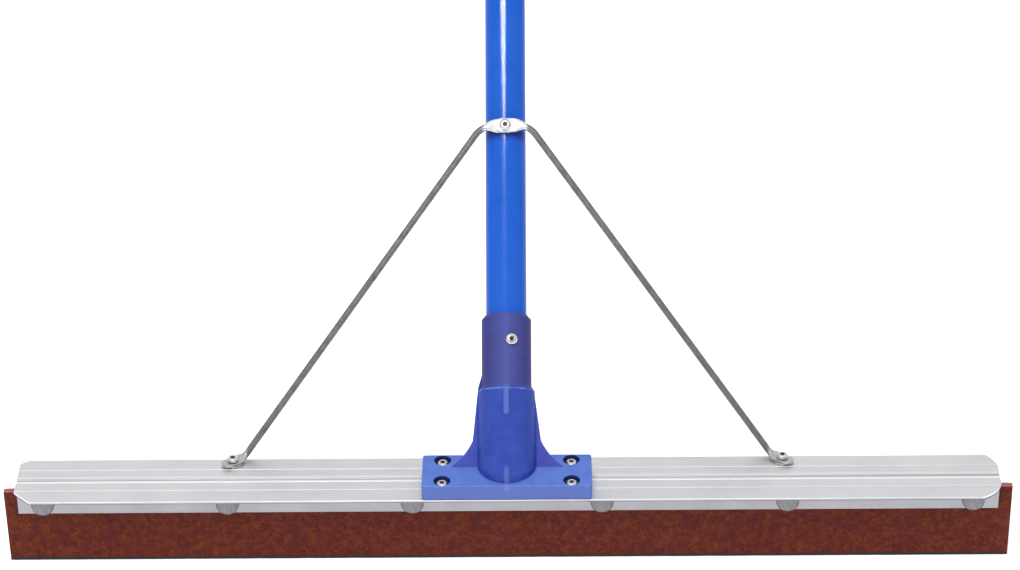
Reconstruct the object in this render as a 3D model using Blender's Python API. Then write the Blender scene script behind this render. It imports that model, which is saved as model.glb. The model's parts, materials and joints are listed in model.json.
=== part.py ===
"""Floor squeegee: aluminium head, rubber blade, moulded socket, tube handle and two brace rods.

Metres, +Z up. X runs along the head and the handle leans towards +Y.
The origin is the middle of the blade's working edge, which lies along X.
"""

import math

import bmesh
import bpy
from mathutils import Matrix, Vector

MM = 0.001
GAP = 0.3 * MM  # left between two pieces that rest on each other
CLEARANCE = 0.35 * MM  # round a bolt in its hole
CUT = 2 * MM  # how far a cutter reaches past what it cuts
SMOOTH_BELOW = math.radians(35)

# Head, driven by its length and by the blade's size
HEAD_LENGTH = 914.4 * MM
BLADE_THICKNESS = 6.35 * MM
BLADE_HEIGHT = 79 * MM
BLADE_OVERHANG = 10.8 * MM  # past each end of the head
PLATE_THICKNESS = 3.2 * MM
PLATE_FRONT = -25.2 * MM
PLATE_REAR = 43.4 * MM
WALL = 3.1 * MM  # flange and clamp bar
FLANGE_BOTTOM = 56.4 * MM
FLANGE_TOE = 0.4 * MM
FLANGE_SHORT = 2 * MM  # at each end, inside the plate
FILLET = 0.5 * MM
BEAD_HEIGHT = 0.5 * MM
BEAD_WIDTH = 1.8 * MM
REAR_BEAD_AT = 25.8 * MM
FRONT_BEAD_AT = -6.9 * MM
GROOVE_AT = 10.1 * MM
GROOVE_LIP = 1.5 * MM
GROOVE_WIDTH = 4.4 * MM
GROOVE_DEPTH = 1.4 * MM
BAR_EDGE = 0.6 * MM

UNDERSIDE = BLADE_HEIGHT + GAP
PLATE_TOP = UNDERSIDE + PLATE_THICKNESS
FLANGE_BACK = -BLADE_THICKNESS / 2 - GAP
FLANGE_FRONT = FLANGE_BACK - WALL
BAR_FRONT = BLADE_THICKNESS / 2 + GAP
BAR_BACK = BAR_FRONT + WALL

# Blade bolts: six 3/8 in carriage bolts, three on each side of the middle
BLADE_BOLTS_OUT = (88 * MM, 260 * MM, 432 * MM)
BLADE_BOLT_Z = 66.7 * MM
BLADE_BOLT_R = 4.76 * MM
BLADE_BOLT_HEAD_R = 10.5 * MM
BLADE_BOLT_HEAD_H = 6 * MM
BLADE_BOLT_RIM = 2 * MM
BLADE_NUT_FLATS = 14.3 * MM
BLADE_NUT_H = 8.3 * MM
BLADE_WASHER_R = 10.3 * MM
BLADE_WASHER_H = 1.6 * MM

# Small bolts: 1/4 in button heads with a hexagon socket
BOLT_R = 3.15 * MM
BOLT_HEAD_R = 5.55 * MM
BOLT_HEAD_H = 3.4 * MM
BOLT_SOCKET_FLATS = 4 * MM
BOLT_SOCKET_DEPTH = 1.9 * MM
NUT_FLATS = 11.1 * MM
NUT_H = 5.6 * MM
THIN_NUT_H = 1.8 * MM
WASHER_R = 7.9 * MM
WASHER_H = 1.3 * MM
THREAD_OUT = 2 * MM  # a bolt's end, past its nut
HEAD_RIM = 0.9 * MM

# Handle and its socket. "Along" is measured up the handle's axis from the top of the socket's base.
TILT = math.radians(43)
AXIS_Y = 7.5 * MM  # where the axis meets the top of the base
HANDLE_R = 19.05 * MM
HANDLE_WALL = 1.8 * MM
HANDLE_LENGTH = 1676.4 * MM
HANDLE_START = 14 * MM
BASE_LENGTH = 157 * MM
BASE_DEPTH = 50.5 * MM
BASE_HEIGHT = 15 * MM
BASE_CORNER = 2.5 * MM
BASE_EDGE = 0.7 * MM
BASE_BOLT_X = 59.7 * MM
BASE_BOLT_Y = 16.2 * MM
COUNTERBORE_R = 7.9 * MM
COUNTERBORE_DEPTH = 5.2 * MM
BODY_FOOT_R = 27.1 * MM
BODY_TOP_R = 26.2 * MM
FOOT_REACH = 28.6 * MM  # the foot's rounded front, ahead of the axis
HEEL_BACK = 36 * MM
SHOULDER_START = 69 * MM
SHOULDER_END = 73.7 * MM
COLLAR_R = 23.2 * MM
COLLAR_CHAMFER_START = 136.5 * MM
COLLAR_END = 140.8 * MM
BORE_START = HANDLE_START - 1.5 * MM
BODY_BELOW = 70 * MM  # how far the body runs on below the base's top, before it is trimmed
BURIED = 1.7 * MM  # how far a shape reaches into its neighbour before they are joined
HEEL_HALF_WIDTH = 26.4 * MM
ROUND_SIDES = 40
WEB_THICKNESS = 4.5 * MM
WEB_FOOT = 51.2 * MM
WEB_WAIST = (31.7 * MM, 23 * MM)  # across, along
WEB_PULL = (38.5 * MM, 8.5 * MM)  # the flare's curve is drawn towards this
TALL_WEB = ((26.7 * MM, 72 * MM), (22.4 * MM, 87 * MM))  # the -X web runs on up the collar
RIB_WIDTH = 5.2 * MM
RIB_HEIGHT = 0.9 * MM
FRONT_RIB_START = 45 * MM
FOOT_RIB_END = -2.5 * MM

BASE_BOTTOM = PLATE_TOP + BEAD_HEIGHT + GAP  # the base stands on the beads
BASE_TOP = BASE_BOTTOM + BASE_HEIGHT
HEEL_BOTTOM = BASE_BOTTOM + GAP

SOCKET_BOLT_ALONG = 114.8 * MM
SOCKET_BOLT_TURN = math.radians(12)  # round the handle from its front, towards +X
BRACE_BOLT_ALONG = 318.3 * MM

# Braces
ROD_R = 3.175 * MM
TAB_WIDTH = 13.4 * MM
TAB_THICKNESS = 2.4 * MM
TAB_TIP = 10 * MM  # past the upper bolt
FOOT_TIP = 11.5 * MM  # past the lower bolt
ELBOW_OUT = 22 * MM  # from the upper bolt to the rod's bend
FOOT_BEND = 12.5 * MM  # from the lower bolt to the rod's bend
ELBOW_R = 22 * MM
FOOT_BEND_R = 11 * MM
FOOT_BOLT = (257 * MM, 34.8 * MM)
FOOT_TAB_BOTTOM = PLATE_TOP + WASHER_H + 2 * GAP
UPPER_FLAT = TAB_TIP + 7 * MM  # the flat stretch of each tab, from its end
LOWER_FLAT = FOOT_TIP + 7.5 * MM
UPPER_BLEND = 14 * MM  # from flat to round
LOWER_BLEND = 8 * MM
ROD_STEP = 2.7 * MM
ROD_SIDES = 12

# Grip
GRIP_LENGTH = 125 * MM
GRIP_WALL = 2.4 * MM
GRIP_RIBS = 8
GRIP_RIB_PITCH = 11 * MM
GRIP_RIB_H = 0.9 * MM
GRIP_ROUND = 5 * MM

# The plate's corners, each cut back along a curve from its long edge to its end. The three points
# are (in from the end, in from the edge) in mm: the start, the point the curve bends towards, the end.
CORNERS = {
    (-1, 1): ((10, 0), (5, 3.35), (0, 6.7)),
    (-1, -1): ((16.5, 0), (8.25, 8.35), (0, 16.7)),
    (1, 1): ((10.8, 0), (2.5, 8), (0, 18)),
    (1, -1): ((20, 0), (5, 6.5), (0, 21)),
}

ROUND, HEXAGON = "round", "hexagon"

# The handle's own frame: local Z runs up the handle, and local -Y is its front
TUBE = Matrix.Translation((0, AXIS_Y, BASE_TOP)) @ Matrix.Rotation(-TILT, 4, "X")
FACING_FRONT = Matrix.Rotation(math.radians(90), 4, "X")  # turns local +Z to -Y
FACING_REAR = Matrix.Rotation(math.radians(-90), 4, "X")
UPSIDE_DOWN = Matrix.Rotation(math.radians(180), 4, "X")


def clear_scene():
    for old in list(bpy.data.objects):
        bpy.data.objects.remove(old, do_unlink=True)


def material(name, colour, roughness, metallic=0.0):
    made = bpy.data.materials.new(name)
    made.use_nodes = True
    shader = made.node_tree.nodes["Principled BSDF"]
    shader.inputs["Base Color"].default_value = (*colour, 1)
    shader.inputs["Roughness"].default_value = roughness
    shader.inputs["Metallic"].default_value = metallic
    return made


def mesh_data(name, mesh, finish):
    bmesh.ops.recalc_face_normals(mesh, faces=mesh.faces)
    if mesh.calc_volume(signed=True) < 0:
        bmesh.ops.reverse_faces(mesh, faces=mesh.faces)
    data = bpy.data.meshes.new(name)
    mesh.to_mesh(data)
    mesh.free()
    data.materials.append(finish)
    data.shade_smooth()
    data.set_sharp_from_angle(angle=SMOOTH_BELOW)
    return data


def place_object(name, data, place=None):
    made = bpy.data.objects.new(name, data)
    made.matrix_world = place or Matrix.Identity(4)
    bpy.context.collection.objects.link(made)
    return made


def piece(name, mesh, finish, place=None):
    return place_object(name, mesh_data(name, mesh, finish), place)


def append(target, other):
    """Moves one bmesh into another, where it stays a separate body."""
    scratch = bpy.data.meshes.new("scratch")
    other.to_mesh(scratch)
    other.free()
    target.from_mesh(scratch)
    bpy.data.meshes.remove(scratch)


def combine(target, operation, *shapes):
    """Adds a Boolean modifier whose other side is these shapes, in the target's own frame."""
    tool = bmesh.new()
    for shape in shapes:
        append(tool, shape)
    finish = target.data.materials[0]
    name = f"{target.name}_{operation.lower()}_{len(target.modifiers)}"
    cutter = piece(name, tool, finish, target.matrix_world)
    cutter.hide_render = True
    cutter.display_type = "WIRE"
    step = target.modifiers.new(operation.title(), "BOOLEAN")
    step.operation = operation
    step.solver = "EXACT"
    step.object = cutter


# Shapes ------------------------------------------------------------------------------


def skin(rings, closed=False):
    """A solid through rings of points. A ring of one point is a pole; closed joins last to first."""
    mesh = bmesh.new()
    loops = [[mesh.verts.new(point) for point in ring] for ring in rings]
    pairs = list(zip(loops, loops[1:]))
    if closed:
        pairs.append((loops[-1], loops[0]))
    for low, high in pairs:
        sides = max(len(low), len(high))
        for i in range(sides):
            j = (i + 1) % sides
            if len(low) == 1:
                mesh.faces.new((low[0], high[i], high[j]))
            elif len(high) == 1:
                mesh.faces.new((low[i], low[j], high[0]))
            else:
                mesh.faces.new((low[i], low[j], high[j], high[i]))
    if not closed:
        for loop in (loops[0], loops[-1]):
            if len(loop) > 2:
                mesh.faces.new(loop)
    return mesh


def turned_ring(shape, radius, height, segments):
    if radius == 0:
        return [(0, 0, height)]
    ring = []
    for i in range(segments):
        angle = 2 * math.pi * i / segments
        reach = radius
        if shape == HEXAGON:
            reach = radius / math.cos((angle + math.pi / 6) % (math.pi / 3) - math.pi / 6)
        ring.append((reach * math.cos(angle), reach * math.sin(angle), height))
    return ring


def turned(profile, segments, closed=False):
    """A solid about local Z through (shape, radius or half the width over flats, height)."""
    return skin([turned_ring(*step, segments) for step in profile], closed)


def round_bar(radius, low, high, place=None, segments=16):
    bar = turned([(ROUND, radius, low), (ROUND, radius, high)], segments)
    bar.transform(place or Matrix.Identity(4))
    return bar


def extruded(outline, low, high, axis):
    """A prism along an axis. The outline gives the other two coordinates, in XYZ order."""
    slot = "XYZ".index(axis)
    rings = []
    for height in (low, high):
        rings.append([(*point[:slot], height, *point[slot:]) for point in outline])
    return skin(rings)


def arc(centre, radius, start, end, steps):
    """Points of an arc, in degrees. The radius may be a pair: across and up."""
    across, up = radius if isinstance(radius, tuple) else (radius, radius)
    points = []
    for i in range(steps + 1):
        angle = math.radians(start + (end - start) * i / steps)
        points.append((centre[0] + across * math.cos(angle), centre[1] + up * math.sin(angle)))
    return points


def rounded_rectangle(half_x, half_y, radius, steps=3):
    points = []
    for i, (side_x, side_y) in enumerate(((1, 1), (-1, 1), (-1, -1), (1, -1))):
        centre = (side_x * (half_x - radius), side_y * (half_y - radius))
        points += arc(centre, radius, 90 * i, 90 * i + 90, steps)
    return points


# Fasteners, each about its own Z with its head or outer face up and its seat at height 0 ----


def washer(radius, hole, height):
    profile = [(ROUND, radius, 0), (ROUND, radius, height), (ROUND, hole, height), (ROUND, hole, 0)]
    return turned(profile, 18, closed=True)


def nut(flats, hole, height):
    """A hexagon nut with its outer corners turned off."""
    chamfer = 0.09 * flats
    profile = [
        (ROUND, hole, 0),
        (HEXAGON, flats / 2, 0),
        (HEXAGON, flats / 2, height - chamfer),
        (ROUND, flats / 2 * 0.96, height),
        (ROUND, hole, height),
    ]
    return turned(profile, 12, closed=True)


def shank(radius, length):
    """A plain shank's steps, from its chamfered end up to the seat."""
    chamfer = 0.2 * radius
    return [
        (ROUND, 0, -length),
        (ROUND, radius - chamfer, -length),
        (ROUND, radius, -length + chamfer),
        (ROUND, radius, 0),
    ]


def dome(radius, flat, rim, height, steps):
    """A head's steps, from the seat's edge up over the rim to the flat on top."""
    points = [(ROUND, radius, 0)]
    for across, up in arc((flat, rim), (radius - flat, height - rim), 0, 90, steps):
        points.append((ROUND, across, up))
    return points


def button_bolt(length):
    """A low domed head with a hexagon socket, on a plain shank."""
    socket = BOLT_HEAD_H - BOLT_SOCKET_DEPTH
    profile = shank(BOLT_R, length)
    profile += dome(BOLT_HEAD_R, BOLT_HEAD_R / 2, HEAD_RIM, BOLT_HEAD_H, 3)
    profile += [(HEXAGON, BOLT_SOCKET_FLATS / 2, BOLT_HEAD_H), (HEXAGON, BOLT_SOCKET_FLATS / 2, socket)]
    profile.append((ROUND, 0, socket))
    return turned(profile, 18)


def carriage_bolt(length):
    """A plain mushroom head on a shank."""
    profile = shank(BLADE_BOLT_R, length)
    profile += dome(BLADE_BOLT_HEAD_R, 2 * MM, BLADE_BOLT_RIM, BLADE_BOLT_HEAD_H, 4)
    profile.append((ROUND, 0, BLADE_BOLT_HEAD_H))
    return turned(profile, 18)


# Head ----------------------------------------------------------------------------------


def blade_bolt_places():
    across = sorted([-x for x in BLADE_BOLTS_OUT] + list(BLADE_BOLTS_OUT))
    return [(x, 0, BLADE_BOLT_Z) for x in across]


def base_bolt_places():
    return [(x, y, 0) for x in (-BASE_BOLT_X, BASE_BOLT_X) for y in (-BASE_BOLT_Y, BASE_BOLT_Y)]


def foot_bolt_places():
    return [(side * FOOT_BOLT[0], FOOT_BOLT[1], 0) for side in (-1, 1)]


def blade_bolt_holes():
    """Drills along Y, through the flange, the blade and the clamp bar alike."""
    reach = 20 * MM
    drills = []
    for place in blade_bolt_places():
        turn = Matrix.Translation(place) @ FACING_FRONT
        drills.append(round_bar(BLADE_BOLT_R + CLEARANCE, -reach, reach, turn))
    return drills


def plate_holes(places):
    return [
        round_bar(BOLT_R + CLEARANCE, UNDERSIDE - CUT, PLATE_TOP + CUT, Matrix.Translation(place))
        for place in places
    ]


def bead(centre):
    """A low bead on top of the plate, listed from its rear to its front."""
    return arc((centre, PLATE_TOP), (BEAD_WIDTH / 2, BEAD_HEIGHT), 0, 180, 4)


def groove():
    """A shallow channel between two raised lips, listed from its rear to its front."""
    rear_lip = GROOVE_AT + GROOVE_WIDTH / 2 + GROOVE_LIP
    front_lip = GROOVE_AT - GROOVE_WIDTH / 2 - GROOVE_LIP
    bottom = PLATE_TOP - GROOVE_DEPTH
    points = arc((rear_lip, PLATE_TOP), (GROOVE_LIP, BEAD_HEIGHT), 0, 150, 4)
    points += arc((GROOVE_AT, bottom + GROOVE_WIDTH / 2), GROOVE_WIDTH / 2, -20, -160, 4)
    points += arc((front_lip, PLATE_TOP), (GROOVE_LIP, BEAD_HEIGHT), 30, 180, 4)
    return points


def frame_outline():
    """The extrusion's section as (Y, Z): the plate with its beads and groove, and the flange."""
    edge = PLATE_THICKNESS / 2
    outline = arc((PLATE_REAR - edge, UNDERSIDE + edge), edge, -90, 90, 4)
    outline += bead(REAR_BEAD_AT) + groove() + bead(FRONT_BEAD_AT)
    outline += arc((PLATE_FRONT + edge, UNDERSIDE + edge), edge, 90, 270, 4)
    outline += arc((FLANGE_FRONT - FILLET, UNDERSIDE - FILLET), FILLET, 90, 0, 3)
    for y, start in ((FLANGE_FRONT + FLANGE_TOE, 180), (FLANGE_BACK - FLANGE_TOE, 270)):
        outline += arc((y, FLANGE_BOTTOM + FLANGE_TOE), FLANGE_TOE, start, start + 90, 2)
    outline.append((FLANGE_BACK, UNDERSIDE))
    return outline


def curve(start, pull, end, steps):
    """Points of a curve that leaves the start towards the pull and comes from it to the end."""
    points = []
    for i in range(steps + 1):
        t = i / steps
        points.append(start * (1 - t) ** 2 + pull * 2 * t * (1 - t) + end * t**2)
    return points


def corner_cut(side_x, side_y):
    """What is cut off one corner of the plate."""
    start, pull, end = (Vector(point) * MM for point in CORNERS[side_x, side_y])
    local = [(start.x, -CUT)] + [tuple(point) for point in curve(start, pull, end, 6)]
    local += [(-CUT, end.y), (-CUT, -CUT)]
    edge = PLATE_REAR if side_y > 0 else PLATE_FRONT
    outline = [(side_x * (HEAD_LENGTH / 2 - a), edge - side_y * b) for a, b in local]
    return extruded(outline, UNDERSIDE - CUT, PLATE_TOP + CUT, "Z")


def flange_end(side):
    """What is cut off one end of the flange, up to the plate's underside."""
    ends = sorted((side * (HEAD_LENGTH / 2 - FLANGE_SHORT), side * (HEAD_LENGTH / 2 + CUT)))
    front, rear = FLANGE_FRONT - CUT, FLANGE_BACK + CUT
    low, high = FLANGE_BOTTOM - CUT, UNDERSIDE
    return extruded([(front, low), (rear, low), (rear, high), (front, high)], *ends, "X")


def frame_extrusion(finish):
    half = HEAD_LENGTH / 2
    frame = piece("frame_extrusion", extruded(frame_outline(), -half, half, "X"), finish)
    combine(frame, "DIFFERENCE", *[corner_cut(*corner) for corner in CORNERS])
    combine(frame, "DIFFERENCE", flange_end(-1), flange_end(1))
    flange_holes = blade_bolt_holes()
    combine(frame, "DIFFERENCE", *flange_holes)
    combine(frame, "DIFFERENCE", *plate_holes(base_bolt_places() + foot_bolt_places()))


def rear_clamp_bar(finish):
    half = HEAD_LENGTH / 2 - FLANGE_SHORT
    middle = ((BAR_FRONT + BAR_BACK) / 2, (FLANGE_BOTTOM + BLADE_HEIGHT) / 2)
    outline = rounded_rectangle(WALL / 2, (BLADE_HEIGHT - FLANGE_BOTTOM) / 2, BAR_EDGE, 2)
    outline = [(middle[0] + a, middle[1] + b) for a, b in outline]
    bar = piece("rear_clamp_bar", extruded(outline, -half, half, "X"), finish)
    combine(bar, "DIFFERENCE", *blade_bolt_holes())


def rubber_blade(finish):
    half_length = HEAD_LENGTH / 2 + BLADE_OVERHANG
    half = BLADE_THICKNESS / 2
    outline = [(-half, 0), (half, 0), (half, BLADE_HEIGHT), (-half, BLADE_HEIGHT)]
    blade = piece("rubber_blade", extruded(outline, -half_length, half_length, "X"), finish)
    combine(blade, "DIFFERENCE", *blade_bolt_holes())


def blade_fasteners(finish):
    """Six carriage bolts from the front, each with a washer and a nut behind the clamp bar."""
    washer_seat = BAR_BACK + GAP
    nut_seat = washer_seat + BLADE_WASHER_H + GAP
    bolt_end = nut_seat + BLADE_NUT_H + THREAD_OUT
    bolt_seat = FLANGE_FRONT - GAP
    hole = BLADE_BOLT_R + CLEARANCE
    bolt = mesh_data("blade_bolt", carriage_bolt(bolt_end - bolt_seat), finish)
    disc = mesh_data("blade_washer", washer(BLADE_WASHER_R, hole, BLADE_WASHER_H), finish)
    hexagon = mesh_data("blade_nut", nut(BLADE_NUT_FLATS, hole, BLADE_NUT_H), finish)
    for i, place in enumerate(blade_bolt_places(), 1):
        at = Matrix.Translation(place)
        place_object(f"blade_bolt_{i}", bolt, at @ Matrix.Translation((0, bolt_seat, 0)) @ FACING_FRONT)
        place_object(f"blade_washer_{i}", disc, at @ Matrix.Translation((0, washer_seat, 0)) @ FACING_REAR)
        place_object(f"blade_nut_{i}", hexagon, at @ Matrix.Translation((0, nut_seat, 0)) @ FACING_REAR)


# Handle socket -------------------------------------------------------------------------


def socket_tube():
    """The tubular part, about the handle's axis: a tapered body, a shoulder and a collar."""
    profile = [
        (ROUND, 0, -BODY_BELOW),
        (ROUND, BODY_FOOT_R, -BODY_BELOW),
        (ROUND, BODY_FOOT_R, -BURIED),
        (ROUND, BODY_TOP_R, SHOULDER_START),
        (ROUND, COLLAR_R, SHOULDER_END),
        (ROUND, COLLAR_R, COLLAR_CHAMFER_START),
        (ROUND, HANDLE_R + 2 * GAP, COLLAR_END),
        (ROUND, 0, COLLAR_END),
    ]
    tube = turned(profile, ROUND_SIDES)
    tube.transform(TUBE)
    return tube


def heel():
    """The block under the tube's back, down to just above the plate."""
    rise = (HEEL_BACK - AXIS_Y) / math.tan(TILT)
    drop = BASE_TOP - HEEL_BOTTOM
    outline = [
        (AXIS_Y - drop * math.tan(TILT), HEEL_BOTTOM),
        (HEEL_BACK, HEEL_BOTTOM),
        (HEEL_BACK, BASE_TOP + rise),
    ]
    return extruded(outline, -HEEL_HALF_WIDTH, HEEL_HALF_WIDTH, "X")


def foot_limits():
    """What the tube is trimmed to in plan: a rounded front, and open to the rear."""
    half = BODY_FOOT_R - 0.1 * MM
    far = 250 * MM
    outline = arc((0, AXIS_Y), (half, FOOT_REACH), 180, 360, 25)
    outline += [(half, far), (-half, far)]
    return extruded(outline, HEEL_BOTTOM, 2 * far, "Z")


def base_block():
    """The base plate, with rounded corners and a softened upper edge."""
    rings = []
    for inset, height in (
        (0, BASE_BOTTOM),
        (0, BASE_TOP - BASE_EDGE),
        (0.3 * BASE_EDGE, BASE_TOP - 0.3 * BASE_EDGE),
        (BASE_EDGE, BASE_TOP),
    ):
        outline = rounded_rectangle(BASE_LENGTH / 2 - inset, BASE_DEPTH / 2 - inset, BASE_CORNER)
        rings.append([(x, y, height) for x, y in outline])
    return skin(rings)


def side_webs():
    """Both gussets as one slab in the handle's own plane, flaring out towards the base."""
    below = -8 * MM
    foot = Vector((WEB_FOOT, -BURIED / 2))
    pull = Vector(WEB_PULL)
    waist = Vector(WEB_WAIST)
    edge = [(WEB_FOOT, below)] + [tuple(point) for point in curve(foot, pull, waist, 5)]
    outline = edge + [(BODY_TOP_R - 0.5 * MM, SHOULDER_START - 0.5 * MM)]
    outline += [(-x, along) for x, along in reversed(edge + list(TALL_WEB))]
    slab = extruded(outline, -WEB_THICKNESS / 2, WEB_THICKNESS / 2, "Y")
    slab.transform(TUBE)
    return slab


def front_ribs():
    """Two low ribs on the front: one under the shoulder and one down to the foot."""
    half = RIB_WIDTH / 2
    proud = BODY_FOOT_R + RIB_HEIGHT
    buried = BODY_TOP_R - 3 * MM
    upper = extruded(
        [(-proud + 0.5 * MM, FRONT_RIB_START), (-buried, FRONT_RIB_START),
         (-buried, SHOULDER_START - 0.4 * MM), (-proud + 0.5 * MM, SHOULDER_START - 0.4 * MM)],
        -half, half, "X",
    )
    upper.transform(TUBE)
    face = AXIS_Y - FOOT_REACH - RIB_HEIGHT
    top = TUBE @ Vector((0, -proud, FOOT_RIB_END))
    inner = TUBE @ Vector((0, -buried, FOOT_RIB_END))
    knee_z = top.z - (top.y - face) / math.tan(TILT)
    buried_z = BASE_TOP - BASE_EDGE - 2 * MM
    lower = extruded(
        [(top.y, top.z), (face, knee_z), (face, buried_z), (inner.y, buried_z), (inner.y, inner.z)],
        -half, half, "X",
    )
    return upper, lower


def counterbored_holes():
    seat = BASE_TOP - COUNTERBORE_DEPTH
    drills = []
    for place in base_bolt_places():
        profile = [
            (ROUND, BOLT_R + CLEARANCE, BASE_BOTTOM - CUT),
            (ROUND, BOLT_R + CLEARANCE, seat),
            (ROUND, COUNTERBORE_R, seat),
            (ROUND, COUNTERBORE_R, BASE_TOP + CUT),
        ]
        drill = turned(profile, 24)
        drill.transform(Matrix.Translation(place))
        drills.append(drill)
    return drills


def cross_hole(along, turn):
    """A drill through the handle, square to its axis."""
    reach = 2 * COLLAR_R
    place = TUBE @ Matrix.Rotation(turn, 4, "Z") @ Matrix.Translation((0, 0, along)) @ FACING_FRONT
    return round_bar(BOLT_R + CLEARANCE, -reach, reach, place)


def handle_socket(finish):
    socket = piece("handle_socket", socket_tube(), finish)
    combine(socket, "UNION", heel())
    combine(socket, "INTERSECT", foot_limits())
    combine(socket, "UNION", side_webs())
    combine(socket, "UNION", base_block())
    combine(socket, "UNION", *front_ribs())
    combine(socket, "DIFFERENCE", *counterbored_holes())
    combine(socket, "DIFFERENCE", cross_hole(SOCKET_BOLT_ALONG, SOCKET_BOLT_TURN))
    bore = round_bar(HANDLE_R + GAP, BORE_START, COLLAR_END + CUT, TUBE, ROUND_SIDES)
    combine(socket, "DIFFERENCE", bore)


def down_fasteners(name, places, seat, nut_height, finish):
    """Button bolts pointing down through the plate, each with a nut under it."""
    nut_seat = UNDERSIDE - GAP
    bolt_end = nut_seat - nut_height - THREAD_OUT
    bolt = mesh_data(f"{name}_bolt", button_bolt(seat - bolt_end), finish)
    hexagon = mesh_data(f"{name}_nut", nut(NUT_FLATS, BOLT_R + CLEARANCE, nut_height), finish)
    for i, (x, y, _) in enumerate(places, 1):
        place_object(f"{name}_bolt_{i}", bolt, Matrix.Translation((x, y, seat)))
        place_object(f"{name}_nut_{i}", hexagon, Matrix.Translation((x, y, nut_seat)) @ UPSIDE_DOWN)


# Handle --------------------------------------------------------------------------------


def handle_tube(finish):
    end = HANDLE_START + HANDLE_LENGTH
    inside = HANDLE_R - HANDLE_WALL
    profile = [
        (ROUND, HANDLE_R, HANDLE_START),
        (ROUND, HANDLE_R, end),
        (ROUND, inside, end),
        (ROUND, inside, HANDLE_START),
    ]
    mesh = turned(profile, ROUND_SIDES, closed=True)
    mesh.transform(TUBE)
    tube = piece("handle_tube", mesh, finish)
    holes = cross_hole(SOCKET_BOLT_ALONG, SOCKET_BOLT_TURN), cross_hole(BRACE_BOLT_ALONG, 0)
    combine(tube, "DIFFERENCE", *holes)


def handle_grip(finish):
    """A ribbed sleeve with a closed, rounded end."""
    inner = HANDLE_R + GAP
    outer = inner + GRIP_WALL
    inner_end = HANDLE_START + HANDLE_LENGTH + GAP
    mouth = inner_end - GRIP_LENGTH
    profile = [(ROUND, 0, inner_end), (ROUND, inner, inner_end), (ROUND, inner, mouth)]
    profile.append((ROUND, outer, mouth))
    for i in range(GRIP_RIBS):
        start = mouth + (i + 1) * GRIP_RIB_PITCH
        for across, up in ((0, 0), (GRIP_RIB_H, 2 * MM), (0, 4 * MM)):
            profile.append((ROUND, outer + across, start + up))
    for across, up in arc((outer - GRIP_ROUND, inner_end), (GRIP_ROUND, GRIP_WALL), 0, 90, 4):
        profile.append((ROUND, across, up))
    profile.append((ROUND, 0, inner_end + GRIP_WALL))
    piece("handle_grip", turned(profile, 24), finish, TUBE)


def cross_fasteners(name, along, turn, front, rear, finish):
    """A bolt through the handle from its front, with a washer and a nut behind it."""
    place = TUBE @ Matrix.Rotation(turn, 4, "Z") @ Matrix.Translation((0, 0, along))
    hole = BOLT_R + CLEARANCE
    nut_seat = rear + WASHER_H + GAP
    bolt = button_bolt(front + nut_seat + NUT_H + THREAD_OUT)
    piece(f"{name}_bolt", bolt, finish, place @ Matrix.Translation((0, -front, 0)) @ FACING_FRONT)
    behind = place @ Matrix.Translation((0, rear, 0)) @ FACING_REAR
    piece(f"{name}_washer", washer(WASHER_R, hole, WASHER_H), finish, behind)
    behind = place @ Matrix.Translation((0, nut_seat, 0)) @ FACING_REAR
    piece(f"{name}_nut", nut(NUT_FLATS, hole, NUT_H), finish, behind)


# Braces --------------------------------------------------------------------------------


def rounded_route(corners, radii):
    """A dense line through the corners, with each inner corner replaced by an arc."""
    route = [corners[0]]
    for before, corner, after, radius in zip(corners, corners[1:], corners[2:], radii):
        to_start = (before - corner).normalized()
        to_end = (after - corner).normalized()
        half_angle = to_start.angle(to_end) / 2
        back = radius / math.tan(half_angle)
        middle = corner + (to_start + to_end).normalized() * radius / math.sin(half_angle)
        first = corner + to_start * back - middle
        last = corner + to_end * back - middle
        route += [middle + first.slerp(last, i / 12) * radius for i in range(13)]
    return route + [corners[-1]]


def point_on(route, distance):
    for start, end in zip(route, route[1:]):
        step = (end - start).length
        if distance <= step:
            return start.lerp(end, distance / step)
        distance -= step
    return route[-1]


def ease(value):
    value = min(max(value, 0), 1)
    return value * value * (3 - 2 * value)


def rod_stations(length):
    """Distances along a rod where its section is drawn: close at the tabs, none between."""
    tip = [TAB_WIDTH / 2 * (1 - math.cos(math.radians(angle))) for angle in (15, 35, 55, 75, 90)]
    upper = tip + [TAB_WIDTH / 2 + step * ROD_STEP for step in range(1, 14)]
    lower = tip + [TAB_WIDTH / 2 + step * ROD_STEP for step in range(1, 13)]
    return upper + [length - distance for distance in reversed(lower)]


def rod_section(distance, length):
    """Half width, half thickness and squareness of a rod, which is flattened at both ends."""
    from_end = length - distance
    roundness = min(
        ease((distance - UPPER_FLAT) / UPPER_BLEND),
        ease((from_end - LOWER_FLAT) / LOWER_BLEND),
    )
    half_width = TAB_WIDTH / 2 + (ROD_R - TAB_WIDTH / 2) * roundness
    half_thickness = TAB_THICKNESS / 2 + (ROD_R - TAB_THICKNESS / 2) * roundness
    into_tip = min(distance, from_end) / (TAB_WIDTH / 2)
    if into_tip < 1:
        half_width *= math.sqrt(1 - (1 - into_tip) ** 2)
    return half_width, half_thickness, 0.5 + 0.5 * roundness


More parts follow.
